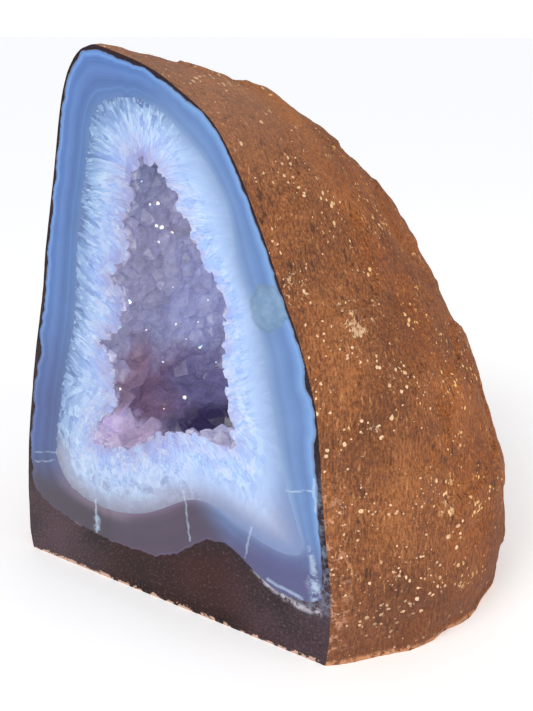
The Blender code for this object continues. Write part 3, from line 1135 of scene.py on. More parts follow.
# Pale chips along the edge where the agate meets the rock at the foot
CHIPS = (
    Vein((-38.5, 20.2), (-34.5, 18.2), 1.6, 0.8),
    Vein((-33.5, 18.6), (-29.5, 19.2), 1.6, 0.7),
    Vein((-28.5, 18.4), (-24.5, 17.2), 1.6, 0.7),
    Vein((33.0, 24.5), (37.5, 21.5), 1.6, 0.6),
    Vein((37.5, 21.5), (43.0, 19.0), 1.7, 0.8),
    Vein((43.0, 19.0), (49.0, 17.6), 1.8, 1.0),
    Vein((49.0, 17.6), (54.5, 18.2), 1.8, 1.0),
)


def veins_over(
    bench: Bench, colour: Socket, tree: bpy.types.NodeTree, pale: Colour, veins: Sequence[Vein] = VEINS
) -> Socket:
    """Draws the healed cracks over a colour.

    Args:
        bench: The material's bench.
        colour: The colour below.
        tree: The vein mask group.
        pale: The cracks' colour.
        veins: The cracks.

    Returns:
        The colour with the cracks.
    """
    for vein in veins:
        ends = [Vector((x * MM, 0.0, z * MM)) - ORIGIN_IN_SAW_FRAME for x, z in (vein.start, vein.end)]
        line = {"From": ends[0], "To": ends[1], "Width": vein.width * MM, "Wander": 2.2 * MM}
        mask = bench.group(tree, line).outputs[0]
        share = bench.times(bench.step(mask, 0.0, 0.9), vein.strength * 0.7)
        if vein.width > 1.5:
            share = bench.times(share, bench.step(bench.noise(bench.place(), 420.0, 4.0, 0.7), 0.40, 0.58))
        colour = bench.mix(share, colour, pale)
    return colour


@dataclass(frozen=True)
class ChipPatch:
    """The shallow chip filled with grey green stone, across the agate and quartz at the right."""

    middle: tuple[float, float] = (37.6, 105.6)
    size: tuple[float, float] = (5.7, 6.4)
    ragged: float = 4.5
    fill: Colour = paint(122, 152, 178)
    vein: Colour = paint(150, 178, 202)
    edge: Colour = paint(96, 124, 150)

    def over(self, bench: Bench, at: Socket, colour: Socket) -> Socket:
        """Lays the patch over a colour.

        Args:
            bench: The material's bench.
            at: The place on the piece.
            colour: The colour below.

        Returns:
            The colour with the patch.
        """
        middle = Vector((self.middle[0] * MM, 0.0, self.middle[1] * MM)) - ORIGIN_IN_SAW_FRAME
        spot = bench.shaken(at, 300.0, self.ragged * MM)
        gap = bench.vector("SUBTRACT", spot, middle)
        across = (1 / (self.size[0] * MM), 0.0, 1 / (self.size[1] * MM))
        scaled = bench.vector("MULTIPLY", gap, across)
        far = bench.measure("LENGTH", scaled)
        clouds = bench.noise(at, 260.0, 3.0, 0.55)
        fill = bench.mix(bench.step(clouds, 0.42, 0.66), self.fill, self.vein)
        ring = bench.times(bench.step(far, 0.72, 0.94), 0.65)
        fill = bench.mix(ring, fill, self.edge)
        return bench.mix(bench.times(bench.step(far, 1.08, 0.90), 0.70), colour, fill)


@dataclass(frozen=True)
class AgateFinish(Finish):
    """The polished agate, banded along its growth: blue above, mauve grey at the foot."""

    upper: tuple[tuple[float, Colour], ...] = (
        (0.00, paint(88, 112, 158)),
        (0.07, paint(112, 158, 226)),
        (0.14, paint(82, 122, 188)),
        (0.22, paint(76, 116, 182)),
        (0.34, paint(90, 130, 194)),
        (0.45, paint(86, 122, 186)),
        (0.58, paint(72, 108, 170)),
        (0.70, paint(80, 116, 176)),
        (0.755, paint(90, 127, 187)),
        (0.81, paint(80, 116, 174)),
        (0.90, paint(88, 122, 178)),
        (1.00, paint(98, 128, 182)),
    )
    right: tuple[tuple[float, Colour], ...] = (
        (0.00, paint(104, 122, 160)),
        (0.08, paint(126, 166, 222)),
        (0.20, paint(108, 146, 204)),
        (0.32, paint(94, 128, 184)),
        (0.45, paint(100, 134, 190)),
        (0.60, paint(110, 142, 196)),
        (0.75, paint(106, 136, 186)),
        (0.88, paint(122, 150, 198)),
        (1.00, paint(140, 166, 208)),
    )
    foot: tuple[tuple[float, Colour], ...] = (
        (0.00, paint(104, 92, 122)),
        (0.06, paint(82, 66, 90)),
        (0.30, paint(77, 62, 86)),
        (0.52, paint(82, 68, 92)),
        (0.70, paint(79, 66, 90)),
        (0.84, paint(92, 80, 100)),
        (0.93, paint(116, 106, 124)),
        (1.00, paint(138, 132, 152)),
    )
    foot_right: Colour = paint(92, 112, 160)
    foot_shade: Colour = (0.70, 0.44, 0.62, 1.0)
    beige: Colour = paint(172, 146, 160)
    dusk: Colour = (0.46, 0.41, 0.55, 1.0)
    crack: Colour = paint(206, 220, 240)
    overall: Colour = (0.66, 0.74, 0.78, 1.0)

    def make(self, veins: bpy.types.NodeTree) -> bpy.types.Material:
        """Makes the material.

        Args:
            veins: The vein mask group.

        Returns:
            The material.
        """
        material, bench, shader = self.start()
        at = bench.place()
        x, _, z = bench.axes(at)
        band = bench.put("Attribute", attribute_name="band").outputs["Fac"]
        sway = bench.times(bench.minus(bench.noise(at, 60.0, 3.0), 0.5), 0.10)
        band = bench.plus(band, sway)
        colour = bench.ramp(band, self.upper)
        colour = bench.mix(bench.step(x, -8 * MM, 8 * MM), colour, bench.ramp(band, self.right))
        foot = bench.mix(bench.step(x, 2 * MM, 34 * MM), bench.ramp(band, self.foot), self.foot_right)
        hump = bench.math("ABSOLUTE", bench.plus(x, 6 * MM))
        raised = bench.minus(z, bench.times(bench.step(hump, 26 * MM, 10 * MM), 12 * MM))
        low = bench.step(bench.plus(raised, bench.times(bench.noise(at, 50.0), 8 * MM)), 50 * MM, 30 * MM)
        foot = bench.mix(1.0, foot, self.foot_shade, "MULTIPLY")
        beige = bench.times(bench.step(band, 0.55, 0.95), bench.step(x, -14 * MM, -34 * MM))
        foot = bench.mix(bench.times(beige, 0.75), foot, self.beige)
        colour = bench.mix(low, colour, foot)
        dusk = bench.times(bench.step(z, 104 * MM, 56 * MM), bench.step(x, -20 * MM, -34 * MM))
        colour = bench.mix(bench.times(dusk, 0.9), colour, self.dusk, "MULTIPLY")
        across = bench.put("CombineXYZ", {0: band}).outputs[0]
        waves = {"Vector": across, "Scale": 4.4, "Distortion": 0.6, "Detail": 2.0}
        lines = bench.put("TexWave", waves, wave_type="BANDS", bands_direction="X").outputs[1]
        colour = bench.mix(bench.times(lines, 0.09), colour, (0.8, 0.9, 1.0, 1.0), "SOFT_LIGHT")
        clouds = bench.noise(at, 130.0, 4.0)
        colour = bench.shaded(0.25, colour, clouds, [(0.3, (0.38, 0.38, 0.4, 1)), (0.7, (0.62, 0.62, 0.6, 1))])
        colour = ChipPatch().over(bench, at, colour)
        colour = veins_over(bench, colour, veins, self.crack)
        colour = bench.mix(1.0, colour, self.overall, "MULTIPLY")
        rough = bench.put("MapRange", {0: clouds, 3: 0.10, 4: 0.20}).outputs[0]
        bench.feed(shader, {
            "Base Color": colour, "Roughness": rough, "IOR": QUARTZ_IOR,
            "Coat Weight": 0.4, "Coat Roughness": 0.05,
            "Subsurface Weight": 0.12, "Subsurface Scale": 0.004, "Subsurface Radius": (0.4, 0.7, 1.0),
        })
        return material


@dataclass(frozen=True)
class QuartzFinish(Finish):
    """The sawn quartz: radial needles that end milky white round the hollow."""

    left: tuple[tuple[float, Colour], ...] = (
        (0.00, paint(96, 124, 176)),
        (0.10, paint(128, 156, 204)),
        (0.26, paint(150, 176, 222)),
        (0.50, paint(180, 200, 240)),
        (0.78, paint(180, 188, 232)),
        (1.00, paint(166, 164, 206)),
    )
    right: tuple[tuple[float, Colour], ...] = (
        (0.00, paint(138, 164, 206)),
        (0.18, paint(158, 183, 223)),
        (0.40, paint(174, 199, 238)),
        (0.66, paint(182, 206, 244)),
        (1.00, paint(182, 190, 232)),
    )
    foot: tuple[tuple[float, Colour], ...] = (
        (0.00, paint(142, 140, 162)),
        (0.16, paint(166, 168, 194)),
        (0.36, paint(182, 196, 230)),
        (0.70, paint(190, 207, 245)),
        (1.00, paint(194, 194, 234)),
    )

    needle: Colour = paint(214, 238, 255)
    between: Colour = paint(126, 148, 196)
    needle_shades: tuple[tuple[float, Colour], ...] = (
        (0.0, (0.40, 0.42, 0.46, 1)),
        (0.5, (0.5, 0.5, 0.5, 1)),
        (1.0, (0.63, 0.62, 0.60, 1)),
    )
    tail: Colour = paint(112, 138, 188)
    crack: Colour = paint(214, 228, 248)
    overall: Colour = (0.78, 0.82, 0.85, 1.0)
    left_shade: Colour = (0.90, 0.94, 0.93, 1.0)

    def make(self, veins: bpy.types.NodeTree, needles: bpy.types.NodeTree) -> bpy.types.Material:
        """Makes the material.

        Args:
            veins: The vein mask group.
            needles: The needle group.

        Returns:
            The material.
        """
        material, bench, shader = self.start()
        at = bench.place()
        x, _, z = bench.axes(at)
        to_lip = bench.put("Attribute", attribute_name="to_lip").outputs["Fac"]
        needle = bench.group(needles, {"Fineness": 17.0})
        cells, streaks, fans = needle.outputs[0], needle.outputs[1], needle.outputs[2]
        push = bench.times(bench.minus(fans, 0.5), 0.9)
        push = bench.plus(push, bench.times(bench.minus(cells, 0.5), 0.30))
        milky = bench.times(bench.step(x, -4 * MM, 12 * MM), bench.step(to_lip, 0.62, 0.28))
        sharp = bench.minus(1.0, bench.times(milky, 0.88))
        blurred = bench.times(bench.step(z, 54 * MM, 42 * MM), bench.step(to_lip, 0.42, 0.14))
        blurred = bench.times(blurred, bench.step(x, 14 * MM, -6 * MM))
        sharp = bench.times(sharp, bench.minus(1.0, bench.times(blurred, 0.85)))
        layer = bench.plus(to_lip, bench.times(push, bench.times(sharp, 0.8)))
        to_right = bench.step(x, -6 * MM, 8 * MM)
        colour = bench.mix(to_right, bench.ramp(layer, self.left), bench.ramp(layer, self.right))
        colour = bench.mix(bench.step(z, 58 * MM, 40 * MM), colour, bench.ramp(layer, self.foot))
        colour = bench.shaded(bench.times(sharp, 0.8), colour, cells, self.needle_shades)
        clusters = bench.step(bench.noise(at, 150.0, 3.0), 0.40, 0.60)
        bright = bench.times(bench.step(streaks, 0.54, 0.63), bench.times(clusters, sharp))
        colour = bench.mix(bench.times(bright, 0.55), colour, self.needle)
        dim = bench.times(bench.step(streaks, 0.46, 0.38), bench.times(sharp, 0.30))
        colour = bench.mix(dim, colour, self.between)
        flat = bench.vector("MULTIPLY", at, (1.0, 0.0, 1.0))
        stubs = bench.put("TexVoronoi", {"Vector": flat, "Scale": 260.0}).outputs["Color"]
        near = bench.times(bench.step(to_lip, 0.15, 0.6), sharp)
        grains = [(0.0, (0.34, 0.33, 0.38, 1)), (1.0, (0.63, 0.62, 0.62, 1))]
        colour = bench.shaded(bench.times(near, 0.55), colour, bench.axes(stubs)[0], grains)
        edge = bench.times(bench.step(to_lip, 0.34, 0.0), bench.step(x, 2 * MM, 26 * MM))
        edge = bench.times(edge, bench.step(z, 66 * MM, 46 * MM))
        colour = bench.mix(bench.times(edge, 0.8), colour, self.tail)
        colour = ChipPatch().over(bench, at, colour)
        colour = veins_over(bench, colour, veins, self.crack)
        colour = bench.mix(1.0, colour, self.overall, "MULTIPLY")
        colour = bench.mix(bench.step(x, 2 * MM, -14 * MM), colour, self.left_shade, "MULTIPLY")
        bench.feed(shader, {
            "Base Color": colour, "Roughness": bench.put("MapRange", {0: streaks, 3: 0.12, 4: 0.26}).outputs[0],
            "Normal": bench.bump(streaks, 0.10, 0.1 * MM),
            "IOR": QUARTZ_IOR, "Coat Weight": 0.4, "Coat Roughness": 0.05,
            "Subsurface Weight": 0.25, "Subsurface Scale": 0.005, "Subsurface Radius": (0.7, 0.8, 1.0),
        })
        return material


@dataclass(frozen=True)
class Zone:
    """A zone of the hollow with a colour, partly the crystals' own and partly painted light and shade: middle
    and reach in millimetres.
    """

    middle: tuple[float, float, float]
    reach: float
    colour: Colour


@dataclass(frozen=True)
class CrystalFinish(Finish):
    """The translucent crystal points of the hollow, slate and lavender with smoky purple below and painted
    shade in the deep pocket.
    """

    general: Colour = paint(141, 141, 177)
    # colours across the hollow: partly the crystals' own tints, partly painted light and shade
    zones: tuple[Zone, ...] = (
        Zone((-14, -54, 134), 17, paint(122, 127, 164)),
        Zone((-24, -10, 88), 36, paint(148, 153, 196)),
        Zone((-26, -48, 66), 20, paint(132, 112, 138)),
        Zone((-34, -28, 52), 22, paint(116, 96, 126)),
        Zone((-24, -14, 50), 22, paint(104, 100, 142)),
        Zone((-38, -54, 46), 20, paint(192, 184, 222)),
        Zone((-24, -50, 47), 15, paint(168, 154, 188)),
        # painted shade: the deep pocket in the floor is coloured near black
        Zone((-8, -34, 48), 22, paint(42, 34, 72)),
    )
    zone_wander: float = 16
    surface_share: Colour = (0.72, 0.71, 1.0, 1.0)
    # painted glints: how brightly they glow, and below, their colours
    painted_glint_power: Colour = (2.7, 2.7, 2.7, 1.0)
    # painted glow: how strongly the crystals' colour is given as emission
    painted_glow_strength: float = 0.36
    painted_glint: tuple[tuple[float, Colour], ...] = (
        (0.4, paint(250, 250, 255)),
        (0.6, paint(196, 226, 255)),
        (0.8, paint(255, 214, 168)),
    )

    def make(self) -> bpy.types.Material:
        """Makes the material.

        Returns:
            The material.
        """
        material, bench, shader = self.start()
        at = bench.place()
        spot = bench.shaken(at, 90.0, self.zone_wander * MM)
        # the crystals' colour, which below also feeds the emission as a painted glow
        tone_and_painted_glow: Socket | Colour = self.general
        for zone in self.zones:
            far = bench.measure("DISTANCE", spot, Vector(zone.middle) * MM)
            tone_and_painted_glow = bench.mix(bench.step(far, zone.reach * MM, zone.reach * 0.35 * MM), tone_and_painted_glow, zone.colour)
        fine = bench.noise(at, 900.0, 4.0, 0.7)
        mist = bench.noise(at, 260.0, 4.0, 0.6)
        tint = bench.put("Attribute", attribute_name="tint").outputs["Fac"]
        each = bench.plus(bench.times(tint, 0.4), 0.3)
        shades = ((mist, 0.75, (0.36, 0.66)), (fine, 0.5, (0.34, 0.66)), (each, 0.5, (0.3, 0.7)))
        for value, share, (low, high) in shades:
            greys = [(low, (0.40, 0.39, 0.40, 1)), (high, (0.61, 0.61, 0.62, 1))]
            tone_and_painted_glow = bench.shaded(share, tone_and_painted_glow, value, greys)
        # painted glints: the small bright facets get a fixed white, pale blue or orange colour and glow
        is_painted_glint = bench.step(tint, 1.2, 1.6)
        painted_glint = bench.ramp(bench.math("DIVIDE", tint, 5.0), self.painted_glint)
        tone_and_painted_glow = bench.mix(is_painted_glint, tone_and_painted_glow, painted_glint)
        surface = bench.mix(1.0, tone_and_painted_glow, self.surface_share, "DIVIDE")
        surface = bench.mix(is_painted_glint, surface, painted_glint)
        lit = bench.mix(1.0, painted_glint, self.painted_glint_power, "MULTIPLY")
        tone_and_painted_glow = bench.mix(is_painted_glint, tone_and_painted_glow, lit)
        height = bench.plus(bench.times(fine, 0.4), mist)
        # painted glow: the colour goes to emission, standing in for light passing through the quartz
        bench.feed(shader, {
            "Base Color": surface, "Roughness": bench.put("MapRange", {0: fine, 3: 0.14, 4: 0.34}).outputs[0],
            "IOR": QUARTZ_IOR, "Transmission Weight": 0.12, "Normal": bench.bump(height, 0.35, 0.5 * MM),
            "Subsurface Weight": 0.5, "Subsurface Scale": 0.006, "Subsurface Radius": (0.8, 0.7, 1.0),
            "Emission Color": tone_and_painted_glow, "Emission Strength": self.painted_glow_strength,
        })
        return material


@dataclass(frozen=True)
class CrumbFinish(Finish):
    """The cream mineral crumbs on the skin."""

    colour: Colour = paint(236, 200, 162)
    shade: Colour = paint(190, 140, 100)

    def make(self) -> bpy.types.Material:
        """Makes the material.

        Returns:
            The material.
        """
        material, bench, shader = self.start()
        tone = bench.noise(bench.place(), 420.0, 3.0)
        colour = bench.ramp(tone, [(0.35, self.shade), (0.6, self.colour)])
        normal = bench.bump(tone, 0.3, 0.2 * MM)
        bench.feed(shader, {"Base Color": colour, "Roughness": 0.55, "Normal": normal})
        return material


class RockSlot(Enum):
    """The rock's material slots, in order."""

    SKIN = 0
    SAWN = 1


class CrustSlot(Enum):
    """The crust's material slots, in order."""

    SAWN = 0
    CRYSTAL = 1


@dataclass
class Rock:
    """The rock: a lumpy outside, sawn flat in front and below, with a socket for the agate."""

    subdivisions: int = 8
    lumps: tuple[tuple[float, float], ...] = ((0.0014, 0.040), (0.0015, 0.017))
    pit: tuple[float, float, float] = (0.0022, 0.012, 0.25)
    core: tuple[float, float] = (0.040, 0.060)
    turns: int = 840
    gap: float = 0.0001
    gravel: tuple[tuple[float, float, float], ...] = ((0.55, 6.5, 2.2), (0.30, 2.8, 9.4))
    ledge: tuple[float, float] = (0.9, 24)
    top_worn: float = 0.8
    crease_angle: float = 38
    obj: bpy.types.Object | None = field(default=None, repr=False)

    def relief(self, points: np.ndarray) -> np.ndarray:
        """How far the skin stands out: lumps, pits, ledges and gravel.

        Args:
            points: Points of the skin.

        Returns:
            A height for each point.
        """
        out = np.zeros(len(points))
        for tall, wide in self.lumps:
            out += tall * noise_at(points, wide)
        depth, width, level = self.pit
        pit = noise_at(points, width, np.array((7.3, 1.9, 4.1)))
        out -= depth * np.maximum(0.0, pit - level) / (1 - level)
        coarse, fine = (tall * MM * noise_at(points, wide * MM, shift) for tall, wide, shift in self.gravel)
        out += coarse + fine
        tall, wide = self.ledge
        shelf = noise_at(points * (1, 1, 1.6), wide * MM, 5.7)
        out += tall * MM * (smooth(shelf, 0.02, 0.07) - 0.5)
        return out - self.top_worn * MM * smooth(points[:, 2], 0.135, 0.160)

    def outside(self) -> bpy.types.Object:
        """The lumpy outside, not yet sawn.

        Returns:
            A closed lump in the saw's frame.
        """
        deselect()
        bpy.ops.mesh.primitive_ico_sphere_add(subdivisions=self.subdivisions, radius=1)
        rock = bpy.context.object
        rock.name = rock.data.name = "rock_body"
        cut_off(rock, Vector((0, -0.12, 0)), Vector((0, -1, 0)))
        points = read_points(rock)
        points = ROCK.points(points / np.linalg.norm(points, axis=1)[:, None])
        deep, high = (np.full(len(points), value) for value in self.core)
        centre = np.stack((points[:, 0] * 0.30, deep, high), axis=1)
        away = points - centre
        away /= np.linalg.norm(away, axis=1)[:, None]
        share = np.minimum(1.0, 0.10 + np.maximum(0.0, points[:, 1]) / 0.011)
        write_points(rock, points + away * (self.relief(points) * share)[:, None])
        return rock

    def socket(self) -> bpy.types.Object:
        """A lump that takes out the room for the agate, open to the front.

        Returns:
            The lump in the saw's frame.
        """
        behind = [scalloped(AGATE.ring(self.turns, back)) for back in AGATE_BACKS]
        behind = grown(behind, self.gap)
        front = behind[-1] - np.array((0, 0.004, 0))
        return loft("socket", [pole(behind[0]), *behind, front, pole(front)])

    def build(self) -> bpy.types.Object:
        """Makes the rock.

        Returns:
            The finished rock in the saw's frame.
        """
        rock = self.outside()
        cut_off(rock, Vector((0, 0, 0)), Vector((0, -1, 0)))
        cut_off(rock, Vector((0, 0, 0)), Vector((0, 0, -1)))
        combine(rock, [self.socket()], Join.TAKE_AWAY)
        self.obj = rock
        return rock

    def dress(self, skin: bpy.types.Material, sawn: bpy.types.Material) -> None:
        """Gives the flat front the polished finish and the rest the skin.

        Args:
            skin: The finish of the outside.
            sawn: The finish of the polished front.
        """
        self.obj.data.materials.clear()
        for material in (skin, sawn):
            self.obj.data.materials.append(material)
        for face in self.obj.data.polygons:
            flat = face.center.y < SKIN_REACH
            face.material_index = (RockSlot.SAWN if flat else RockSlot.SKIN).value
            face.use_smooth = not flat
        pick(self.obj)
        bpy.ops.object.shade_smooth_by_angle(angle=math.radians(self.crease_angle))


@dataclass
class AgateLining:
    """The agate between rock and quartz, with growth bands across its sawn edge."""

    turns: int = 840
    front: float = 0.004
    chip: ChipPatch = ChipPatch()
    chip_depth: float = 0.0004
    inner_gap: float = 0.0003
    obj: bpy.types.Object | None = field(default=None, repr=False)

    def build(self) -> bpy.types.Object:
        """Makes the lining and stores on each vertex of its face the share of the way across it.

        Returns:
            The finished lining in the saw's frame.
        """
        outer = [scalloped(AGATE.ring(self.turns, back)) for back in AGATE_BACKS]
        inner = [needled(QUARTZ.ring(self.turns, back)) for back in reversed(QUARTZ_BACKS)]
        inner = grown(inner, self.inner_gap, keep_face=True)
        ahead = np.array((0, self.front, 0))
        rings = [pole(outer[0]), *outer, outer[-1] - ahead, inner[0] - ahead, *inner, pole(inner[-1])]
        obj = loft("agate_body", rings)
        saw_front(obj)
        points = read_points(obj)
        on_face = np.abs(points[:, 1]) < FACE_REACH
        points[on_face, 1] = 0.0
        from_rim = gaps_to(points[on_face], scalloped(AGATE.ring(self.turns * 3, 0)))
        from_quartz = gaps_to(points[on_face], QUARTZ.ring(self.turns * 3, 0))
        values = np.zeros(len(points))
        values[on_face] = from_rim / np.maximum(from_rim + from_quartz, NEVER_ZERO)
        band = obj.data.attributes.new("band", "FLOAT", "POINT")
        band.data.foreach_set("value", values)
        write_points(obj, self.chipped(points, from_quartz, on_face))
        self.obj = obj
        return obj

    def chipped(self, points: np.ndarray, from_quartz: np.ndarray, on_face: np.ndarray) -> np.ndarray:
        """Sinks the shallow chip at the right edge of the band.

        Args:
            points: The lining's points.
            from_quartz: How far each point of the face lies from the quartz.
            on_face: Which points lie on the sawn face.

        Returns:
            The points with the chip.
        """
        (mx, mz), (wx, wz) = self.chip.middle, self.chip.size
        face = points[on_face]
        wobble = 0.25 * noise_at(face * (1, 0, 1), 3.5 * MM, 1.7)
        far = np.hypot((face[:, 0] / MM - mx) / wx, (face[:, 2] / MM - mz) / wz) + wobble
        dish = (1 - smooth(far, 0.75, 1.0)) * smooth(from_quartz, 0.4 * MM, 2.0 * MM)
        ripple = 1 + 0.5 * noise_at(face, 2.0 * MM, 4.4)
        points[on_face, 1] += self.chip_depth * dish * ripple
        return points


@dataclass
class CrystalCrust:
    """The quartz layer and the crystal points that grow from it into the hollow, one solid."""

    seed: int = 11
    turns: int = 840
    front: float = 0.007
    tries: int = 9600
    sizes: tuple[tuple[float, float, float], ...] = ((3.6, 5.4, 1.45), (2.2, 3.4, 1.3), (1.1, 1.9, 1.25))
    most_tilt: float = 30
    outer_gap: float = 0.00005
    pocket_middle: tuple[float, float, float] = (0.002, 0.028, 0.053)
    pocket_size: tuple[float, float, float] = (0.012, 0.014, 0.009)
    glint_scale: float = 1.2
    # painted glints: where they sit as the camera sees them, their size in millimetres and their colour code
    glints: tuple[tuple[tuple[float, float], float, int], ...] = (
        ((141.5, 181.5), 0.45, 3), ((150, 204.5), 0.6, 3), ((158.5, 203.5), 0.55, 2), ((161.5, 227), 1.0, 4),
        ((157, 226), 0.6, 2), ((172.5, 232.5), 0.55, 3), ((159, 242), 0.6, 4), ((130, 302), 0.7, 3),
        ((176, 324), 0.55, 3), ((200, 347), 0.9, 3), ((163, 362), 0.6, 4), ((216, 362), 0.5, 3),
        ((184.5, 397.5), 1.1, 4), ((120, 389), 0.6, 2), ((164, 409), 0.5, 4), ((198, 322), 0.35, 2),
        ((186, 339), 0.35, 2), ((146, 330), 0.35, 2), ((208, 300), 0.4, 2), ((173, 287), 0.3, 2),
    )
    obj: bpy.types.Object | None = field(default=None, repr=False)

    def body(self) -> bpy.types.Object:
        """The quartz layer with a smooth hollow, drawn out past the sawn face.

        Returns:
            The layer in the saw's frame.
        """
        outer = [needled(QUARTZ.ring(self.turns, back)) for back in QUARTZ_BACKS]
        outer = grown(outer, -self.outer_gap, keep_face=True)
        inner = [lipped(self.turns, back) for back in HOLLOW_BACKS]
        ahead = np.array((0, self.front, 0))
        rings = [pole(outer[0]), *outer, outer[-1] - ahead, inner[0] - ahead, *inner, pole(inner[-1])]
        return loft("crust_body", rings)

    def wall_spots(self, dice: random.Random) -> list[tuple[Vector, Vector, float]]:
        """Places for crystals on the hollow's wall.

        Args:
            dice: The source of chance.

        Returns:
            For each crystal its root, the way it grows and its radius.
        """
        turns, levels = 240, 60
        backs = np.linspace(0, 86, levels)
        rings = np.stack([lipped(turns, back) for back in backs])
        ahead = np.stack([rings[0] - (0, step, 0) for step in (0.003, 0.0015)])
        wall = np.concatenate((ahead, rings))
        along = np.roll(wall, -1, axis=1) - np.roll(wall, 1, axis=1)
        deeper = np.gradient(wall, axis=0)
        normal = np.cross(along, deeper)
        area = np.linalg.norm(normal, axis=2)
        normal /= np.maximum(area, 1e-12)[:, :, None]
        middle = np.array((0.003, 0.03, 0.09))
        flip = np.sign(((middle - wall) * normal).sum(axis=2))
        normal *= flip[:, :, None]
        weights = np.cumsum(area.ravel())
        spots: list[tuple[Vector, Vector, float]] = []
        placed = np.empty((0, 3))
        radii = np.empty(0)
        for low, high, spacing in self.sizes:
            for _ in range(self.tries // len(self.sizes)):
                index = min(int(np.searchsorted(weights, dice.random() * weights[-1])), len(weights) - 1)
                row, column = divmod(index, turns)
                spot = wall[row, column] + along[row, column] * dice.uniform(-0.25, 0.25)
                radius = dice.uniform(low, high) * MM * self.size_share(spot)
                gaps = np.linalg.norm(placed - spot, axis=1)
                if len(radii) and np.any(gaps < spacing * (radii + radius) / 2):
                    continue
                placed = np.vstack((placed, spot))
                radii = np.append(radii, radius)
                spots.append((Vector(spot), Vector(normal[row, column]), radius))
        return spots

    def size_share(self, spot: np.ndarray) -> float:
        """How large crystals are at a place: small at the lip and under the top.

        Args:
            spot: The place, in the saw's frame.

        Returns:
            The share of the full size.
        """
        share = 0.40 + max(0.0, float(spot[1])) / 0.022
        most = 0.75 if spot[2] > 0.120 else 1.0
        return min(share, most)

    def point(self, dice: random.Random, radius: float) -> bmesh.types.BMesh:
        """One six-sided crystal along +Z: a short prism with a pyramid whose tip is off centre.

        Args:
            dice: The source of chance.
            radius: Half the crystal's width.

        Returns:
            The crystal, with its root below the origin.
        """
        bm = bmesh.new()
        prism = radius * dice.uniform(0.05, 0.7)
        root = max(2.2 * MM, radius * 1.2)
        depth = root + prism
        bmesh.ops.create_cone(bm, cap_ends=True, segments=6, radius1=radius * 0.9, radius2=radius, depth=depth)
        bmesh.ops.translate(bm, verts=bm.verts, vec=(0, 0, depth / 2 - root))
        top = max(bm.faces, key=lambda face: face.calc_center_median().z)
        tip = bmesh.ops.poke(bm, faces=[top], offset=radius * dice.uniform(0.35, 0.75))["verts"][0]
        tip.co.x += radius * dice.uniform(-0.35, 0.35)
        tip.co.y += radius * dice.uniform(-0.35, 0.35)
        bmesh.ops.scale(bm, verts=bm.verts, vec=(dice.uniform(0.75, 1.25), 1, 1))
        return bm

    def batches(self, dice: random.Random) -> list[bpy.types.Object]:
        """The crystals, shared out so that no two in one object touch.

        Args:
            dice: The source of chance.

        Returns:
            The objects.
        """
        groups: list[list[tuple[Vector, float, Vector, float]]] = []
        for spot, inward, radius in self.wall_spots(dice):
            reach = radius * 2.3 + 1.2 * MM
            for group in groups:
                if all((spot - other).length > reach + far for other, far, _, _ in group):
                    group.append((spot, reach, inward, radius))
                    break
            else:
                groups.append([(spot, reach, inward, radius)])
        made = []
        for group in groups:
            bm = bmesh.new()
            for spot, _, inward, radius in group:
                lean = Vector((dice.uniform(-1, 1), dice.uniform(-1, 1), dice.uniform(-1, 1)))
                axis = Matrix.Rotation(dice.uniform(0, math.radians(self.most_tilt)), 3, lean) @ inward
                turn = Matrix.Rotation(dice.uniform(0, math.pi / 3), 4, "Z")
                place = Matrix.Translation(spot) @ axis.to_track_quat("Z", "Y").to_matrix().to_4x4()
                one = self.point(dice, radius)
                bmesh.ops.transform(one, verts=one.verts, matrix=place @ turn)
                mesh = bpy.data.meshes.new("one")
                one.to_mesh(mesh)
                one.free()
                tint = mesh.attributes.new("tint", "FLOAT", "FACE")
                tint.data.foreach_set("value", [dice.random()] * len(mesh.polygons))
                bm.from_mesh(mesh)
                bpy.data.meshes.remove(mesh)
            mesh = bpy.data.meshes.new("crystal_points")
            bm.to_mesh(mesh)
            bm.free()
            obj = bpy.data.objects.new("crystal_points", mesh)
            bpy.context.scene.collection.objects.link(obj)
            made.append(obj)
        LOG.info("crystals: %d in %d batches", sum(len(g) for g in groups), len(groups))
        return made

    def build(self, camera: bpy.types.Object) -> bpy.types.Object:
        """The finished crust.

        Args:
            camera: The camera, through which the painted glints are aimed.

        Returns:
            The crust in the saw's frame.
        """
        dice = random.Random(self.seed)
        crust = self.body()
        tint = crust.data.attributes.new("tint", "FLOAT", "FACE")
        tint.data.foreach_set("value", [0.5] * len(crust.data.polygons))
        combine(crust, self.batches(dice), Join.ADD)
        self.open_pocket(crust, dice)
        saw_front(crust)
        self.keep_largest(crust)
        # the painted glints, joined to the crust
        combine(crust, [self.painted_glint_facets(crust, camera, dice)], Join.ADD)
        self.store_layers(crust)
        self.obj = crust
        return crust

    def open_pocket(self, obj: bpy.types.Object, dice: random.Random) -> None:
        """Takes out the dark pocket in the hollow's floor, with flat broken sides.

        Args:
            obj: The crust.
            dice: The source of chance.
        """
        deselect()
        bpy.ops.mesh.primitive_ico_sphere_add(subdivisions=2, radius=1)
        hole = bpy.context.object
        points = read_points(hole)
        points *= np.array([dice.uniform(0.85, 1.15) for _ in points])[:, None]
        write_points(hole, points * self.pocket_size + self.pocket_middle)
        combine(obj, [hole], Join.TAKE_AWAY)

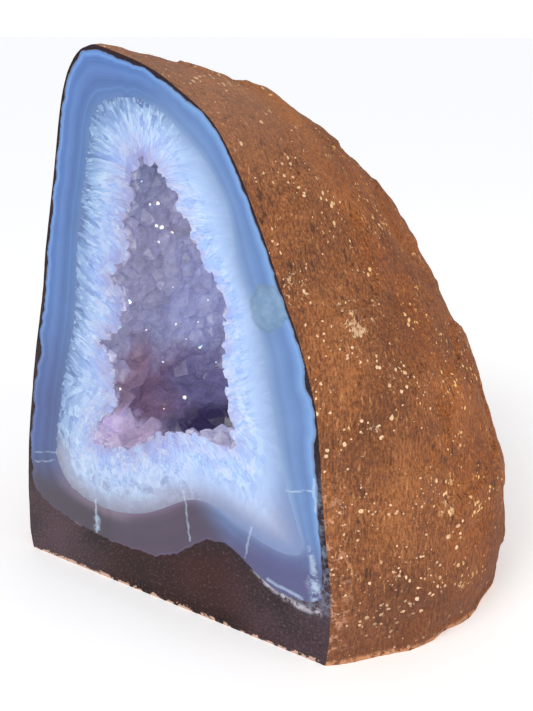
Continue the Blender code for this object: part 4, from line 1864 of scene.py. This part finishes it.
    def painted_glint_facets(
        self, crust: bpy.types.Object, camera: bpy.types.Object, dice: random.Random
    ) -> bpy.types.Object:
        """Painted glints: small crystals whose finish makes them white, pale blue or orange and glowing.

        Args:
            crust: The crust that they sit on.
            camera: The camera, through which they are aimed.
            dice: The source of chance.

        Returns:
            All of them as one object.
        """
        tree = BVHTree.FromObject(crust, bpy.context.evaluated_depsgraph_get())
        bm = bmesh.new()
        tints = []
        for at, size, tint in self.glints:
            spot, normal = aim(tree, camera, at)
            if spot is None or spot.y < 1.5 * MM:
                continue
            place = Matrix.Translation(spot) @ normal.to_track_quat("Z", "Y").to_matrix().to_4x4()
            turn = Matrix.Rotation(dice.uniform(0, math.tau), 4, "Z")
            size *= self.glint_scale
            shape = Matrix.Diagonal((size * MM, size * MM * dice.uniform(0.6, 1.0), size * MM * 0.8, 1))
            before = len(bm.faces)
            bmesh.ops.create_cone(
                bm, cap_ends=True, segments=5, radius1=1.0, radius2=0.35, depth=1.2, matrix=place @ turn @ shape
            )
            tints += [float(tint)] * (len(bm.faces) - before)
        mesh = bpy.data.meshes.new("painted_glint_facets")
        bm.to_mesh(mesh)
        bm.free()
        mesh.attributes.new("tint", "FLOAT", "FACE").data.foreach_set("value", tints)
        obj = bpy.data.objects.new("painted_glint_facets", mesh)
        bpy.context.scene.collection.objects.link(obj)
        return obj

    def keep_largest(self, obj: bpy.types.Object) -> None:
        """Drops the tips that the saw cut free.

        Args:
            obj: The crust.
        """
        bm = bmesh.new()
        bm.from_mesh(obj.data)
        left = set(bm.verts)
        bodies = []
        while left:
            body, edge = set(), {left.pop()}
            while edge:
                body |= edge
                edge = {e.other_vert(v) for v in edge for e in v.link_edges} - body
            left -= body
            bodies.append(body)
        main = max(bodies, key=len)
        bmesh.ops.delete(bm, geom=[v for v in bm.verts if v not in main], context="VERTS")
        bm.to_mesh(obj.data)
        bm.free()

    def store_layers(self, obj: bpy.types.Object) -> None:
        """Keeps, at each vertex of the face, its share of the way from the agate to the lip.

        Args:
            obj: The crust.
        """
        mesh = obj.data
        on_face = {i for f in mesh.polygons if f.center.y < FACE_REACH for i in f.vertices}
        beside = {i for f in mesh.polygons if f.center.y >= FACE_REACH for i in f.vertices}
        rim = on_face & beside
        ring = needled(QUARTZ.ring(self.turns, 0))
        points = read_points(obj)
        edge = points[sorted(rim)]
        lip = edge[gaps_to(edge, ring) > 2.5 * MM]
        face = sorted(on_face)
        from_agate, from_lip = gaps_to(points[face], ring), gaps_to(points[face], lip)
        values = np.ones(len(points))
        values[face] = from_agate / np.maximum(from_agate + from_lip, NEVER_ZERO)
        layer = mesh.attributes.new("to_lip", "FLOAT", "POINT")
        layer.data.foreach_set("value", values)

    def dress(self, quartz: bpy.types.Material, crystal: bpy.types.Material) -> None:
        """Gives the flat front the sawn quartz and the rest the crystal finish.

        Args:
            quartz: The finish of the sawn face.
            crystal: The finish of the hollow.
        """
        self.obj.data.materials.clear()
        for material in (quartz, crystal):
            self.obj.data.materials.append(material)
        for face in self.obj.data.polygons:
            sawn = face.center.y < FACE_REACH
            face.material_index = (CrustSlot.SAWN if sawn else CrustSlot.CRYSTAL).value
            face.use_smooth = False


@dataclass(frozen=True)
class CrumbPatch:
    """A patch of crumbs: its place in the photo's frame, spread and size in mm, and number."""

    at: tuple[float, float]
    spread: float
    size: float
    count: int


@dataclass
class Crumbs:
    """The cream crumbs on the skin, each a small low lump."""

    seed: int = 5
    scattered: int = 700
    clear_of_cuts: float = 0.8
    patches: tuple[CrumbPatch, ...] = (
        CrumbPatch((298, 153), 4.0, 0.8, 14),
        CrumbPatch((322, 231), 4.5, 0.8, 12),
        CrumbPatch((398, 404), 4.0, 1.1, 12),
        CrumbPatch((435, 410), 6.0, 0.8, 26),
        CrumbPatch((314, 357), 3.0, 1.1, 10),
        CrumbPatch((460, 355), 6.0, 0.9, 24),
        CrumbPatch((328, 560), 4.0, 0.9, 18),
        CrumbPatch((425, 494), 5.0, 1.1, 22),
        CrumbPatch((380, 520), 6.0, 1.1, 22),
        CrumbPatch((452, 540), 3.4, 1.7, 16),
        CrumbPatch((409, 566), 4.0, 1.4, 14),
        CrumbPatch((425, 582), 4.0, 1.5, 16),
        CrumbPatch((367, 611), 4.0, 1.2, 18),
        CrumbPatch((334, 579), 3.0, 0.9, 10),
        CrumbPatch((266, 228), 1.5, 0.9, 4),
        CrumbPatch((276, 244), 1.5, 0.9, 4),
    )

    def spots(
        self, rock: bpy.types.Object, camera: bpy.types.Object, dice: random.Random
    ) -> list[tuple[Vector, Vector, float]]:
        """Places on the skin.

        Args:
            rock: The rock, in the saw's frame.
            camera: The camera, through which the patches are aimed.
            dice: The source of chance.

        Returns:
            For each crumb its place, the skin's normal there and its size.
        """
        skin = [f for f in rock.data.polygons if f.material_index == RockSlot.SKIN.value]
        faces = [f for f in skin if min(f.center.y, f.center.z) > self.clear_of_cuts / 2 * MM]
        tree = BVHTree.FromObject(rock, bpy.context.evaluated_depsgraph_get())
        out = []
        for patch in self.patches:
            hit, _ = aim(tree, camera, patch.at)
            if hit is None:
                continue
            for _ in range(patch.count):
                shift = Vector([dice.gauss(0, patch.spread * MM) for _ in range(3)])
                spot, normal, _, _ = tree.find_nearest(hit + shift)
                if min(spot.y, spot.z) > self.clear_of_cuts * MM:
                    out.append((spot, normal, patch.size * MM * dice.uniform(0.3, 1.1)))
        weights = [f.area for f in faces]
        for face in dice.choices(faces, weights, k=self.scattered):
            out.append((face.center.copy(), face.normal.copy(), MM * dice.uniform(0.2, 0.55)))
        return out

    def build(self, rock: bpy.types.Object, camera: bpy.types.Object) -> bpy.types.Object:
        """All crumbs as one piece.

        Args:
            rock: The rock, in the saw's frame.
            camera: The camera.

        Returns:
            The crumbs in the saw's frame.
        """
        dice = random.Random(self.seed)
        bm = bmesh.new()
        for spot, normal, size in self.spots(rock, camera, dice):
            turn = Matrix.Rotation(dice.uniform(0, math.tau), 4, "Z")
            wide, deep, tall = dice.uniform(0.6, 1.2), dice.uniform(0.6, 1.2), dice.uniform(0.3, 0.6)
            stretch = Matrix.Diagonal((size * wide, size * deep, size * tall, 1))
            place = Matrix.Translation(spot) @ normal.to_track_quat("Z", "Y").to_matrix().to_4x4()
            made = bmesh.ops.create_icosphere(bm, subdivisions=1, radius=0.5, matrix=place @ turn @ stretch)
            for vert in made["verts"]:
                vert.co += Vector([dice.uniform(-0.12, 0.12) * size for _ in range(3)])
        mesh = bpy.data.meshes.new("skin_crumbs")
        bm.to_mesh(mesh)
        bm.free()
        obj = bpy.data.objects.new("skin_crumbs", mesh)
        bpy.context.scene.collection.objects.link(obj)
        return obj


@dataclass
class Studio:
    """The camera at the photo's angle, soft lights and a pale floor."""

    focal_pixels = 800.0
    elevation: float = 22.0
    azimuth: float = 30.015
    eye: tuple[float, float, float] = (0.1327, -0.1649, 0.1697)
    sun_width: float = 28
    room_light: float = 0.66
    backdrop_light: float = 1.25
    floor_size: float = 60.0
    floor_glow: float = 0.24

    def camera(self) -> bpy.types.Object:
        """Sets up the camera.

        Returns:
            The camera.
        """
        rise, turn = math.radians(self.elevation), math.radians(self.azimuth)
        back = Vector((math.sin(turn) * math.cos(rise), -math.cos(turn) * math.cos(rise), math.sin(rise)))
        data = bpy.data.cameras.new("camera")
        data.sensor_width = 36
        data.lens = self.focal_pixels / PHOTO_SIZE[1] * data.sensor_width
        data.clip_start = 0.01
        camera = bpy.data.objects.new("camera", data)
        camera.location = Vector(self.eye) - ORIGIN_IN_SAW_FRAME
        camera.rotation_euler = back.to_track_quat("Z", "Y").to_euler()
        bpy.context.scene.collection.objects.link(camera)
        bpy.context.scene.camera = camera
        return camera

    def lamp(
        self, name: str, place: Sequence[float], aim: Sequence[float], size: float, power: float,
        colour: Sequence[float],
    ) -> None:
        """Adds one soft square light.

        Args:
            name: The light's name.
            place: Where it stands.
            aim: What it points at.
            size: The length of its sides.
            power: Its power in watts.
            colour: Its colour.
        """
        data = bpy.data.lights.new(name, "AREA")
        data.size = size
        data.energy = power
        data.color = colour
        lamp = bpy.data.objects.new(name, data)
        lamp.location = place
        lamp.rotation_euler = (Vector(place) - Vector(aim)).to_track_quat("Z", "Y").to_euler()
        bpy.context.scene.collection.objects.link(lamp)

    def sun(self, towards: Sequence[float], strength: float, colour: Sequence[float]) -> None:
        """Adds the broad soft light that falls on the object and floor alike.

        Args:
            towards: The way from the object to the light.
            strength: Its strength.
            colour: Its colour.
        """
        data = bpy.data.lights.new("key", "SUN")
        data.energy = strength
        data.color = colour
        data.angle = math.radians(self.sun_width)
        lamp = bpy.data.objects.new("key", data)
        lamp.rotation_euler = Vector(towards).to_track_quat("Z", "Y").to_euler()
        bpy.context.scene.collection.objects.link(lamp)

    def light(self) -> None:
        """The lights and the even light of the room."""
        world = bpy.data.worlds.new("room")
        world.use_nodes = True
        bench = Bench(world.node_tree)
        world.node_tree.nodes.clear()
        room = bench.put("Background", {0: (0.93, 0.95, 1.0, 1.0), 1: self.room_light})
        seen = bench.put("Background", {0: (1.0, 1.0, 1.0, 1.0), 1: self.backdrop_light})
        is_seen = bench.put("LightPath").outputs["Is Camera Ray"]
        both = bench.put("MixShader", {0: is_seen, 1: room.outputs[0], 2: seen.outputs[0]})
        world.node_tree.links.new(both.outputs[0], bench.put("OutputWorld").inputs[0])
        bpy.context.scene.world = world
        self.sun((-0.25, -0.80, 0.70), 1.12, (1.0, 0.99, 0.97))
        self.lamp("hollow", (0.20, -0.50, 0.26), (0.0, 0.0, 0.08), 0.30, 0.7, (1.0, 0.97, 0.94))
        self.lamp("right", (0.75, 0.05, 0.35), (0.0, 0.0, 0.07), 0.35, 1.5, (1.0, 0.80, 0.56))

    def floor(self) -> bpy.types.Object:
        """Lays the pale floor.

        Returns:
            The floor.
        """
        deselect()
        bpy.ops.mesh.primitive_plane_add(size=self.floor_size, location=(0, 0, 0))
        floor = bpy.context.object
        floor.name = "floor"
        material = bpy.data.materials.new("pale floor")
        material.use_nodes = True
        shader = material.node_tree.nodes["Principled BSDF"]
        shader.inputs["Base Color"].default_value = (0.86, 0.86, 0.86, 1)
        shader.inputs["Emission Color"].default_value = (1.0, 1.0, 1.0, 1)
        shader.inputs["Emission Strength"].default_value = self.floor_glow
        shader.inputs["Roughness"].default_value = 0.7
        floor.data.materials.append(material)
        return floor


def main() -> None:
    """Builds the pieces in order, from the rock inwards, and sets the studio."""
    logging.basicConfig(level=logging.INFO, format="%(name)s: %(message)s")
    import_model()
    studio = Studio()
    camera = studio.camera()
    studio.light()
    studio.floor()
    bpy.context.scene.view_settings.view_transform = "Standard"

    veins, needles = vein_group(), needle_group()
    rock = Rock()
    rock.build()
    rock.dress(SkinFinish("rock skin").make(), SawnRockFinish("sawn rock").make(veins))
    crumbs = Crumbs().build(rock.obj, camera)
    crumbs.data.materials.append(CrumbFinish("cream crumbs").make())

    agate = AgateLining()
    agate.build()
    agate.obj.data.materials.clear()
    agate.obj.data.materials.append(AgateFinish("agate").make(veins))

    crust = CrystalCrust()
    crust.build(camera)
    crust.dress(QuartzFinish("sawn quartz").make(veins, needles), CrystalFinish("crystal").make())

    settle(rock.obj, "rock_matrix")
    settle(crumbs, "")
    settle(agate.obj, "agate_lining")
    settle(crust.obj, "crystal_crust")

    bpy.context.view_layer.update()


if __name__ == "__main__":
    main()
